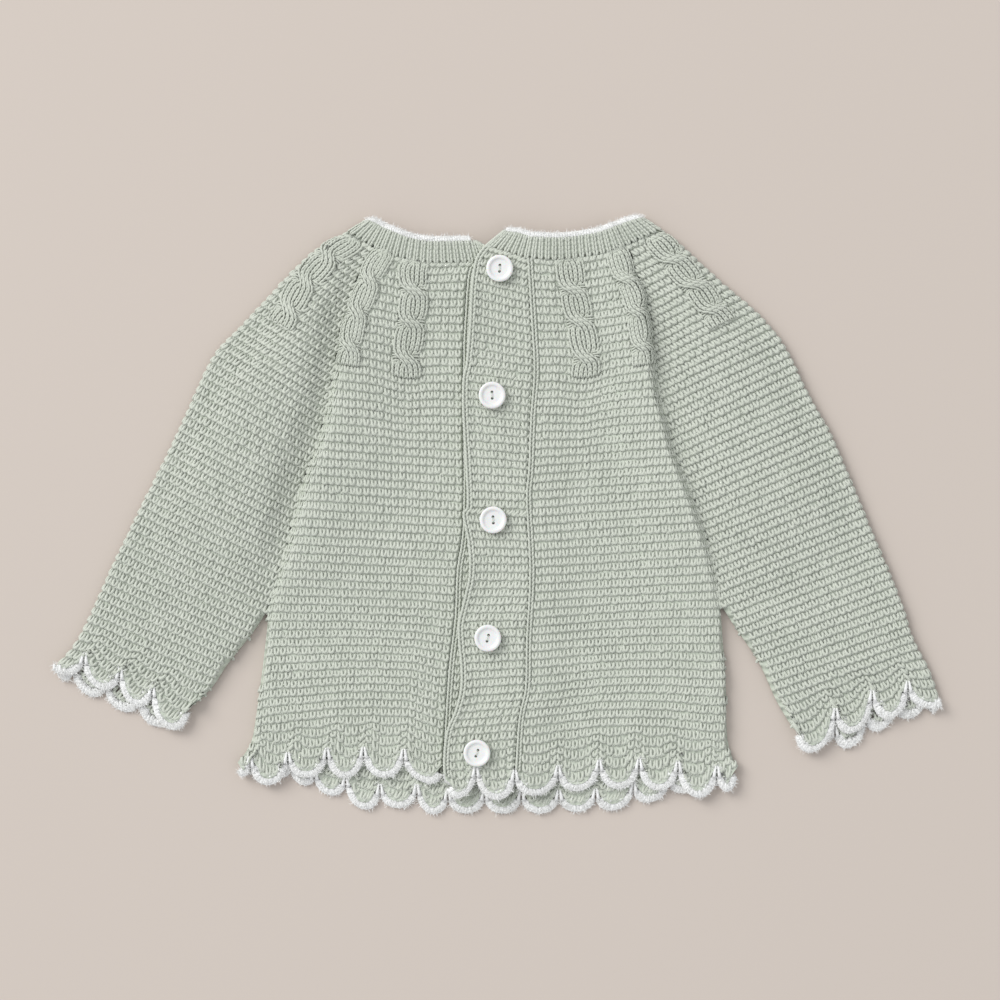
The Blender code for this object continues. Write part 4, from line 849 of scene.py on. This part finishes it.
def build_sleeve(name, crease, underarm_line, outer_edge, cuff, cuff_under, drop, cable, side, seed):
    """One sleeve: its cloth, its garter stitches, its cable, and the rows of the lower layer that
    show inside the cuff."""
    inner_edge, outer = joined(crease, underarm_line), dense(outer_edge)
    inner, underarm = moved(inner_edge, side * SEAM / 2), length(dense(crease)) / length(inner_edge)
    surface, reach_of, total = sleeve(inner, outer, underarm, cuff, drop, side)
    cloth = shell(f"{name}_knitting", surface, *share_grid(reach_of, total, 76, 81, first=-1.0), side,
                  painted_shade_ground, sink=0.95, thick=0.9)
    middle = interpolated([(distance, place + QUARTER - OUTER_FOLD) for distance, place in cable])
    lots = sleeve_stitches(surface, reach_of, total, underarm, middle, side, seed)
    stitches = yarn_piece(f"{name}_stitches", lots, sage)
    lots = rope_cable(surface, middle, side, side, first=SLEEVE_CABLE_DROP, seed=seed + 30)
    under_plan, under_width = knitted_plan(
        outer, inner, edge=scallops(cuff_under, drop, EDGING + SEAM, half_first=True))

    def lower_layer(down, across):
        """Upper face of the sleeve's lower layer, seen inside the cuff."""
        fraction = down / total
        plan = under_plan(fraction, across / under_width(fraction))
        return np.concatenate([plan, np.full(down.shape + (1,), CLOTH)], axis=-1)

    ridge, column = pairs(np.arange(CUFF_ROWS_SHOWN), np.arange(MOST_COLUMNS))
    down, across = total - (ridge + 1) * RIDGE, 2.0 + column * STITCH
    keep = across < under_width(down / total) - STITCH
    lots += garter(lower_layer, down[keep], across[keep], side, seed + 60, stretch=1.0)
    cables = yarn_piece(f"{name}_cable_and_cuff", lots, sage)
    return surface, reach_of, cloth, [stitches, cables]


sleeve_left_surface, sleeve_left_reach, sleeve_left_cloth, sleeve_left_yarn = build_sleeve(
    "sleeve_left", CREASE_LEFT, UNDERARM_LEFT, OUTER_LEFT, CUFF_LEFT, CUFF_LEFT_UNDER, CUFF_DROP_LEFT,
    CABLE_SLEEVE_LEFT, -1, 301)
sleeve_right_surface, sleeve_right_reach, sleeve_right_cloth, sleeve_right_yarn = build_sleeve(
    "sleeve_right", CREASE_RIGHT, UNDERARM_RIGHT, OUTER_RIGHT, CUFF_RIGHT, CUFF_RIGHT_UNDER, CUFF_DROP_RIGHT,
    CABLE_SLEEVE_RIGHT, 1, 401)


# ---- Bands ---------------------------------------------------------------------------------
# Two strips of garter stitch down the opening, the one with the buttonholes on top. Its free edge
# waves, and leaves dark gaps above the band below it.

BAND_EDGE = ((-4.7, 125.4), (-7.6, 122.5), (-10.3, 117.5), (-12, 106.5), (-13, 87.5), (-14.5, 70.5),
             (-16, 62.5), (-16, 46), (-14, 7), (-16, 0.5), (-13.5, -13), (-13, -26), (-15, -37),
             (-18, -49.5), (-18, -58), (-17, -69), (-17, -79.5), (-19.5, -90), (-23.5, -100),
             (-24.8, -112), (-24.5, -120), (-23.5, -126))
HEM_UNDER = ((10.5, -116, 8), (-7.5, -116, 8), (-25.5, -119.5, 0))
HEM_BAND = ((-23.5, -126, 7.5), (-10, -120, 10.5), (8, -122, 0))
BAND_WAVES = ((92, 22, 1.3), (-28, 14, 1.0), (-84, 18, 1.2))      # centre y, half length, lift
WAVE_WIDTH = 0.35
UNDER_BAND_INSET = 1.5
BAND_TOP = UPPER + BAND_LIFT + CLOTH
BUTTONS = ((1, 114, -4), (-2.5, 55.5, 2), (-2, -2, 3), (-4.5, -56.5, -14), (-9.5, -109.5, -20))
BUTTON_FOOT = 4.4


def band(left, right, hem, top, waves):
    """Surface of a strip: flat, with parabolic waves that lift its left edge."""
    total = length(left)
    plan, width = knitted_plan(left, right, edge=scallops(hem, HEM_DROP, EDGING + SEAM))

    def surface(down, across):
        fraction = down / total
        share = across / width(fraction)
        lift = np.zeros(down.shape)
        for centre_y, half_length, height in waves:
            near = np.maximum(0.0, 1 - ((at(left, fraction)[..., 1] - centre_y) / half_length) ** 2)
            lift = lift + height * near * (1 - smooth(share / WAVE_WIDTH))
        return np.concatenate([plan(fraction, share), (top + lift)[..., None]], axis=-1)

    return surface, width, total


under_surface, under_width, under_total = band(
    moved(dense(SEAM_LEFT), SEAM / 2), moved(dense(SEAM_RIGHT), -UNDER_BAND_INSET), HEM_UNDER,
    UPPER + CLOTH, ())
under_cloth = shell("button_band_knitting", under_surface,
                    *share_grid(under_width, under_total, 110, 20), -1, painted_shade_ground)
band_surface, band_width, band_total = band(
    dense(BAND_EDGE), moved(dense(SEAM_RIGHT), -SEAM / 2), HEM_BAND, BAND_TOP, BAND_WAVES)
band_cloth = shell("buttonhole_band_knitting", band_surface,
                   *share_grid(band_width, band_total, 130, 30), -1, painted_shade_ground)
SELVEDGE = 2.5              # width of the chain of knit stitches along a band's edge
BAND_COLUMNS = 8
UNDER_COLUMNS = 3           # stitches of the lower band that the gaps may show


def band_stitches(surface, width, total, seed, clear):
    """Garter stitches over a strip, at even shares of its width, but for those under a button."""
    count = int(round(total / RIDGE))
    ridge, column = pairs(np.arange(count), np.arange(BAND_COLUMNS))
    down = ridge * total / count
    room = width((down + RIDGE / 2) / total) - SELVEDGE
    across = SELVEDGE - 0.2 + column * room / BAND_COLUMNS
    places = surface(down + RIDGE / 2, across + STITCH / 2)
    keep = np.ones(len(down), dtype=bool)
    for x, y, _ in clear:
        keep &= np.hypot(places[:, 0] - x, places[:, 1] - y) > BUTTON_FOOT
    return garter(surface, down[keep], across[keep], -1, seed, total / count, stretch=0.2)


lots = band_stitches(band_surface, band_width, band_total, 501, BUTTONS)
down = np.arange(1.0, band_total - 4.0, KNIT_HEIGHT)
lots += knit_stitches(band_surface, down, np.full(len(down), SELVEDGE / 2), -1, 0.66, 540, SELVEDGE)
band_yarn = yarn_piece("buttonhole_band_stitches", lots, sage)
lots = seam_column(under_surface, under_total, KNIT_WIDTH / 2 + 0.1, -1, 541)
down, across = pairs(np.arange(6.0, under_total * 0.98, RIDGE),
                     KNIT_WIDTH + np.arange(UNDER_COLUMNS) * STITCH)
lots += garter(under_surface, down, across, -1, 520)
under_yarn = yarn_piece("button_band_stitches", lots, sage)


# ---- Neckband ------------------------------------------------------------------------------
# A 1x1 ribbed strip picked up round the neck: knit columns stand up, purl ones sink between them.
# It runs on round the shoulders and lies flat on the table under the fronts.

RIB_DEPTH = 9.3
RIB_PITCH = 3.25
RIB_END = 1.2               # width of the chain along the end of the top band's rib
# The rib's ground has the same painted shade: darker colours for the cloth seen in the grooves between the
# ribs
painted_shade_rib_ground = painted_shade_ground_cloth("sage_cotton_rib_ground_painted_shade", "c8cec0", "bac0b1")
# Lean of the ribs at each x, in degrees from +Y towards +X
LEAN_LEFT = ((-69, 58), (-57.5, 27), (-45, 12), (-31, 2), (-18, -8), (-8, -16), (-4, -30), (0, -45),
             (4, -56), (11.5, -64))
LEAN_BACK = ((-69, 58), (-49, 51), (-27, 29), (1, 0), (29, -29), (52, -51), (75, -57))
LEAN_RIGHT = ((-4.7, 51), (5, 28), (13, 12), (20, 3), (47, -8), (60, -27), (75, -57))


def neck_row(surface, first, last, lean, count, flat=False):
    """A stretch of the neck seam: the first row of a piece, with the lean of its ribs."""
    points = surface(np.zeros(count), np.linspace(first, last, count))
    if flat:
        points[:, 2] = 0.0
    return np.column_stack([points, interpolated(lean)(points[:, 0])])


UNDER_POINTS = 40           # points of the neck seam along the band underneath
INSIDE = 0.2                # a front's or the back's stretch starts this far in from its sides
left_reach, right_reach = sleeve_left_reach(0.0), sleeve_right_reach(0.0)
neck_rows = np.vstack([
    neck_row(under_surface, under_width(0.0), 0.0, LEAN_LEFT, UNDER_POINTS),
    neck_row(left_surface, INSIDE, left_width(0.0) - INSIDE, LEAN_LEFT, 80),
    neck_row(sleeve_left_surface, left_reach, -left_reach, LEAN_LEFT, 60),
    neck_row(back_surface, INSIDE, back_width(0.0) - INSIDE, LEAN_BACK, 160, flat=True),
    neck_row(sleeve_right_surface, -right_reach, right_reach, LEAN_RIGHT, 60),
    neck_row(right_surface, right_width(0.0) - INSIDE, INSIDE, LEAN_RIGHT, 80),
    neck_row(band_surface, band_width(0.0), 0.0, LEAN_RIGHT, 40)])
neck_along = distances(neck_rows[:, :3])
neck_length = float(neck_along[-1])


def neck_surface(down, across):
    """The neckband: the neck seam, carried up along the lean of the ribs."""
    columns = [np.interp(across, neck_along, column) for column in neck_rows.T]
    lean = np.radians(columns[3])
    upwards = np.stack([np.sin(lean), np.cos(lean), np.zeros(lean.shape)], axis=-1)
    return np.stack(columns[:3], axis=-1) + (RIB_DEPTH - down)[..., None] * upwards


down, across = np.meshgrid(np.linspace(0.0, RIB_DEPTH - SEAM, 6), np.linspace(0.0, neck_length, 400),
                           indexing="ij")
neck_cloth = shell("neckband_knitting", neck_surface, down, across, 1, painted_shade_rib_ground, sink=0.32, thick=1.1)
rib_count = int(round((neck_length - RIB_END) / RIB_PITCH))
rib_places = (np.arange(rib_count) + 0.5) * (neck_length - RIB_END) / rib_count
_, rib_out = normals(neck_surface, np.full(rib_count, RIB_DEPTH / 2), rib_places, 1)
facing_up = rib_out[:, 2] > -0.3                        # the ribs on the underside are never seen
down, across = pairs(np.arange(1.0, RIB_DEPTH + 0.9, KNIT_HEIGHT), rib_places[facing_up])
lots = knit_stitches(neck_surface, down, across, 1, radius=0.60, seed=601, width=2.6, leg=RIB_LEG)
down = np.arange(0.6, RIB_DEPTH + 0.9, KNIT_HEIGHT * 0.8)
lots += knit_stitches(neck_surface, down, np.full(len(down), neck_length - RIB_END / 2), 1, radius=0.62,
                      seed=602, width=1.5, leg=RIB_LEG)
neck_yarn = yarn_piece("neckband_stitches", lots, sage)


# ---- Crochet edgings -----------------------------------------------------------------------
# A round of white crochet in a soft brushed yarn on every edge: close upright stitches over the
# knitting's edge, pulled tight between scallops, where two long ones reach up into the cloth.

white = cotton("white_brushed_yarn", "f5f5f3", "efefec", 0.6)
POST_PITCH = 1.35
POST = 0.70                 # half the thickness of one crochet stitch
POST_SWELL = np.array((0.80, 1.0, 1.05, 0.85))
ALONG = np.array((0.0, 0.33, 0.70, 1.0))
# Both ends of an upright stitch: inset from the outer edge, depth below the cloth's top, and stray
STITCH_ENDS = ((EDGING + 0.9, 0.60, 0.46), (0.6, 1.05, 0.24))
CORE = 0.85                 # half the thickness of the strands that the stitches are worked over
CORE_PLACES = ((0.9, 1.25), (2.3, 1.0))                 # their insets, and depths below the cloth's top
CUSP_REACH, CUSP_DROP = 4.6, 0.8                        # how far the long stitches reach up and down
CUSP_HEAD, CUSP_FOOT = 0.49, 1.40                       # half the gap between the two, above and below
CUSP_STITCH = 0.66 * np.array((1.35, 1.15, 0.8, 0.45))  # half their thickness, from foot to head
HAIRS_A_STITCH = 38
HAIR_LENGTH, HAIR_WIDTH = 2.30, 0.25
UP = np.array((0.0, 0.0, 1.0))


def strands(starts, ends, bulge, radii, out=UP):
    """Short straight stitches from starts to ends, bowed out by a bulge in the middle."""
    share = ALONG[None, :, None]
    paths = starts[:, None] * (1 - share) + ends[:, None] * share + 4 * share * (1 - share) * bulge * out
    return tubes(paths, np.broadcast_to(out, paths.shape), radii, sides=6)


def core_strand(line, out=UP):
    """One of the strands that the stitches are worked over, along a line of points."""
    return tubes(line[None], np.broadcast_to(out, line.shape)[None], CORE, sides=6)


def brushed(starts, ends, seed):
    """Fine hairs that stand off the stitches in all directions, each a flat strip."""
    random = np.random.default_rng(seed)
    chosen = random.integers(0, len(starts), len(starts) * HAIRS_A_STITCH)
    share = random.uniform(0.0, 1.0, (len(chosen), 1))
    roots = starts[chosen] * (1 - share) + ends[chosen] * share
    heading = random.normal(0.0, 1.0, (len(chosen), 3)) * (1.0, 1.0, 0.35) + (0.0, 0.0, 0.20)
    heading /= np.linalg.norm(heading, axis=1)[:, None]
    side = np.cross(heading, random.normal(0.0, 1.0, (len(chosen), 3)))
    side *= HAIR_WIDTH / 2 / np.linalg.norm(side, axis=1)[:, None]
    foot = roots + heading * POST * 0.6
    tip = foot + heading * HAIR_LENGTH * random.uniform(0.3, 1.0, (len(chosen), 1))
    points = np.stack([foot - side, foot + side, tip + side / 3, tip - side / 3], axis=1).reshape(-1, 3)
    return points, np.arange(len(points)).reshape(-1, 4), np.zeros((len(points), 2))


def scallop_edging(table, drop, height, half_first=False, seed=71):
    """White stitches along a row of scallops. height gives the top of the cloth at plan points."""
    rows = whole_lobes(table, half_first)
    drop = np.array(drop)
    lobes, angles = [], []
    for lobe in range(len(rows) - 1):
        span = math.dist(rows[lobe][:2], rows[lobe + 1][:2]) / 2
        count = max(3, int(round(math.pi * (span + rows[lobe][2]) / 2 * 0.92 / POST_PITCH)))
        turn = np.radians(np.linspace(12, 168, count))
        turn = turn[turn > math.pi / 2 - 0.2] if half_first and lobe == 0 else turn
        lobes.append(np.full(len(turn), lobe))
        angles.append(turn)
    lobes, angles = np.concatenate(lobes), np.concatenate(angles)

    def placed(plan, below):
        return np.column_stack([plan, height(plan) - below])

    random = np.random.default_rng(seed)
    ends = []
    for inset, below, astray in STITCH_ENDS:
        end = placed(on_lobe(rows, drop, lobes, angles, inset), below)
        ends.append(end + random.normal(0.0, astray, end.shape) * (1.0, 1.0, 0.3))
    lots = [strands(*ends, 0.15, POST * POST_SWELL), brushed(*ends, seed)]
    for inset, below in CORE_PLACES:
        for lobe in range(len(rows) - 1):
            turn = np.radians(np.linspace(90 if half_first and lobe == 0 else 4, 176, 20))
            line = on_lobe(rows, drop, np.full(len(turn), lobe), turn, inset)
            lots.append(core_strand(placed(line, below)))
    cusps = np.array(rows[1:-1], dtype=float)[:, :2]
    for aside in (-1.0, 1.0):
        across = np.array((-drop[1], drop[0])) * aside
        low = placed(cusps + across * CUSP_FOOT + drop * CUSP_DROP, 0.15)
        high = placed(cusps + across * CUSP_HEAD - drop * CUSP_REACH, -0.10)
        lots += [strands(low, high, 0.40, CUSP_STITCH), brushed(low, high, seed + 1)]
    return lots


def lower_top(plan):
    return np.full(len(plan), CLOTH)


def upper_top(plan):
    return np.full(len(plan), UPPER + CLOTH)


def stepped_top(plan):
    """Top of the right front and of the band it runs on to."""
    return UPPER + CLOTH + BAND_LIFT * (1 - smooth((plan[:, 0] - HEM_RIGHT[0][0] - BAND_FLAT) / BAND_EASE))


hem_back_white = yarn_piece("hem_edging_back_crochet", scallop_edging(HEM_BACK, HEM_DROP, lower_top), white)
lots = scallop_edging(HEM_LEFT, HEM_DROP, upper_top) + scallop_edging(HEM_UNDER, HEM_DROP, upper_top)
hem_left_white = yarn_piece("hem_edging_left_crochet", lots, white)
lots = scallop_edging(HEM_BAND[:-1] + HEM_RIGHT, HEM_DROP, stepped_top)
hem_right_white = yarn_piece("hem_edging_right_crochet", lots, white)


def cuff_crochet(name, cuff, cuff_under, drop):
    """White edging on both layers of a cuff."""
    lots = scallop_edging(cuff, drop, upper_top, half_first=True, seed=75)
    lots += scallop_edging(cuff_under, drop, lower_top, half_first=True, seed=79)
    return yarn_piece(name, lots, white)


cuff_left_white = cuff_crochet("cuff_edging_left_crochet", CUFF_LEFT, CUFF_LEFT_UNDER, CUFF_DROP_LEFT)
cuff_right_white = cuff_crochet("cuff_edging_right_crochet", CUFF_RIGHT, CUFF_RIGHT_UNDER, CUFF_DROP_RIGHT)

# The neck's edge starts where the band underneath ends, because its own end is turned down. Places
# down are measured from the top of the ribs, and negative above it.
NECK_STITCH_ENDS = ((0.2, 0.60), (-2.1, 0.95))          # place down and depth below the cloth's face
NECK_CORE_PLACES = ((-0.5, 1.15), (-1.8, 1.10))
neck_start = neck_along[UNDER_POINTS]
posts = np.arange(neck_start + 0.4, neck_length - 0.4, POST_PITCH)
(low, out), (high, _) = [normals(neck_surface, np.full(len(posts), place_down), posts, 1)
                         for place_down, _ in NECK_STITCH_ENDS]
low, high = low - NECK_STITCH_ENDS[0][1] * out, high - NECK_STITCH_ENDS[1][1] * out
lots = [strands(low, high, 0.30, POST * POST_SWELL, out[:, None]), brushed(low, high, 91)]
round_neck = np.linspace(neck_start, neck_length - 0.5, 400)
for place_down, below in NECK_CORE_PLACES:
    line, out = normals(neck_surface, np.full(len(round_neck), place_down), round_neck, 1)
    lots.append(core_strand(line - below * out, out))
neck_white = yarn_piece("neck_edging_crochet", lots, white)


# ---- Buttons -------------------------------------------------------------------------------
# Five pearly polyester buttons of 12.5 mm, turned with a raised rim round a shallow dish and two
# drilled holes, sewn on with sage thread that shows as a short bar between the holes.

BUTTON_BASE = BAND_TOP + SEAM
HOLE_RADIUS, HOLE_OFFSET = 0.64, 1.45
HOLE_PROFILE = ((0.0, -1.0), (HOLE_RADIUS, -1.0), (HOLE_RADIUS, 4.0), (0.0, 4.0))
# Profile from the middle of the dish, over the rim and round to the middle of the back
DISH = 1.62                 # height of the middle of the dish
BUTTON_PROFILE = ((0.0, DISH), (1.0, DISH), (2.2, 1.63), (3.4, 1.66), (4.0, 1.74), (4.35, 1.95),
                  (4.62, 2.24), (4.95, 2.42), (5.35, 2.48), (5.75, 2.42), (6.05, 2.24), (6.22, 1.95),
                  (6.25, 1.6), (6.15, 1.15), (5.9, 0.75), (5.4, 0.35), (4.4, 0.05), (2.5, 0.0), (0.0, 0.0))
ROUND_STEPS, HOLE_STEPS = 64, 20
THREAD = 0.09               # radius of the sewing thread
THREAD_APART, THREAD_LIFT, THREAD_BOW = 0.2, 0.22, 0.14

pearl, pearl_shader = new_material("pearl_polyester", Roughness=0.22, Coat_Weight=0.5, Coat_Roughness=0.08,
                                   Subsurface_Weight=0.12, Subsurface_Scale=0.002)
where = add(pearl, "ShaderNodeTexCoord", {})
cloud = add(pearl, "ShaderNodeTexNoise", {"Vector": (where, "Object"), "Scale": 260.0, "Detail": 2.0,
                                          "Distortion": 1.5})
tinted(pearl, pearl_shader, (cloud, "Fac"), "e2e2df", "f0f0ee")
thread_cotton = cotton("sage_sewing_thread", "d5d9ce", "c9cfc0", 0.2)


def turned(name, profile, steps, y=0.0):
    """A closed piece: a profile turned round the z axis, which is then moved along y."""
    radius, height = np.array(profile).T[:, :, None]
    turn = np.arange(steps) * 2 * math.pi / steps
    points = np.stack(np.broadcast_arrays(radius * np.cos(turn), radius * np.sin(turn) + y, height), axis=-1)
    index = np.arange(radius.size * steps).reshape(-1, steps)
    ahead = np.roll(index, -1, axis=1)
    quads = np.stack([index[:-1], index[1:], ahead[1:], ahead[:-1]], axis=-1).reshape(-1, 4)
    piece = put(name, points.reshape(-1, 3), quads, pearl)
    work = bmesh.new()
    work.from_mesh(piece.data)
    bmesh.ops.remove_doubles(work, verts=work.verts, dist=WELD * MM)
    bmesh.ops.recalc_face_normals(work, faces=work.faces)
    work.to_mesh(piece.data)
    work.free()
    return piece


def drilled(piece, y):
    """The piece with a hole cut through it at y."""
    drill = turned("drill", HOLE_PROFILE, HOLE_STEPS, y)
    cut = piece.modifiers.new("drill", "BOOLEAN")
    cut.object = drill
    cut.operation = "DIFFERENCE"
    seen = piece.evaluated_get(bpy.context.evaluated_depsgraph_get())
    cut_mesh = bpy.data.meshes.new_from_object(seen)
    piece.modifiers.clear()
    piece.data = cut_mesh
    bpy.data.objects.remove(drill)


def button(number, x, y, turn):
    """A drilled button, turned about its middle and moved to its place, and its two threads, which
    bow up between the holes and go down into them."""
    shell_piece = turned(f"button_{number}_shell", BUTTON_PROFILE, ROUND_STEPS)
    for sign in (-1, 1):
        drilled(shell_piece, sign * HOLE_OFFSET)
    mesh = shell_piece.data
    mesh.shade_smooth()
    mesh.set_sharp_from_angle(angle=math.radians(40))
    cosine, sine = math.cos(math.radians(turn)), math.sin(math.radians(turn))
    spin = np.array(((cosine, sine, 0), (-sine, cosine, 0), (0, 0, 1)))
    place = np.array((x, y, BUTTON_BASE))
    coordinates = np.empty(len(mesh.vertices) * 3)
    mesh.vertices.foreach_get("co", coordinates)
    mesh.vertices.foreach_set("co", (coordinates.reshape(-1, 3) @ spin + place * MM).ravel())
    reach = np.linspace(-1.0, 1.0, 9)
    height = DISH + THREAD_LIFT + THREAD_BOW * (1 - reach**2) + np.where(np.abs(reach) > 0.85, -1.1, 0.0)
    paths = np.array([np.stack([aside * (1.15 - 0.35 * np.abs(reach)), reach * (HOLE_OFFSET + 0.15), height],
                               axis=-1) for aside in (-THREAD_APART, THREAD_APART)]) @ spin + place
    lots = [tubes(paths, np.broadcast_to(UP, paths.shape), THREAD, sides=6)]
    return shell_piece, yarn_piece(f"button_{number}_thread", lots, thread_cotton)


# ---- Joining up ----------------------------------------------------------------------------
# Each piece rides on the one body and takes the place of its CAD solid. The cut
# sizes are those of the knitted pieces before they are joined.

# node: cloth, its stitches and edging, nodes of the edging, width and length of the cut in metres,
# its area in square metres where it isn't a rectangle, and what it lies on if not the table
SHEETS = {
    "back": (back_cloth, [back_stitches, hem_back_white], ["hem_edging_back"],
             (0.232, 0.262), 0.0430, []),
    "front_left": (left_cloth, left_yarn + [hem_left_white], ["hem_edging_left"],
                   (0.097, 0.245), 0.0178, ["back"]),
    "front_right": (right_cloth, right_yarn + [hem_right_white], ["hem_edging_right"],
                    (0.103, 0.250), 0.0190, ["back"]),
    "sleeve_left": (sleeve_left_cloth, sleeve_left_yarn + [cuff_left_white], ["cuff_edging_left"],
                    (0.160, 0.245), 0.0260, []),
    "sleeve_right": (sleeve_right_cloth, sleeve_right_yarn + [cuff_right_white], ["cuff_edging_right"],
                     (0.165, 0.250), 0.0295, []),
    "button_band": (under_cloth, [under_yarn], [], (0.033, 0.240), None, ["back"]),
    "buttonhole_band": (band_cloth, [band_yarn], [], (0.033, 0.245), None, ["button_band"]),
    "neckband": (neck_cloth, [neck_yarn, neck_white], ["neck_edging"], (0.330, 0.010), None, [])}
for node, (cloth, extras, edging_nodes, flat, flat_area, below) in SHEETS.items():
    for piece in [cloth] + extras:
        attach(piece, "root")
    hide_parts(node)
    for edging_node in edging_nodes:
        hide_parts(edging_node)
for number, (x, y, turn) in enumerate(BUTTONS, start=1):
    shell_piece, thread = button(number, x, y, turn)
    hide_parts(f"button_{number}")
    for piece in (shell_piece, thread):
        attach(piece, "root")
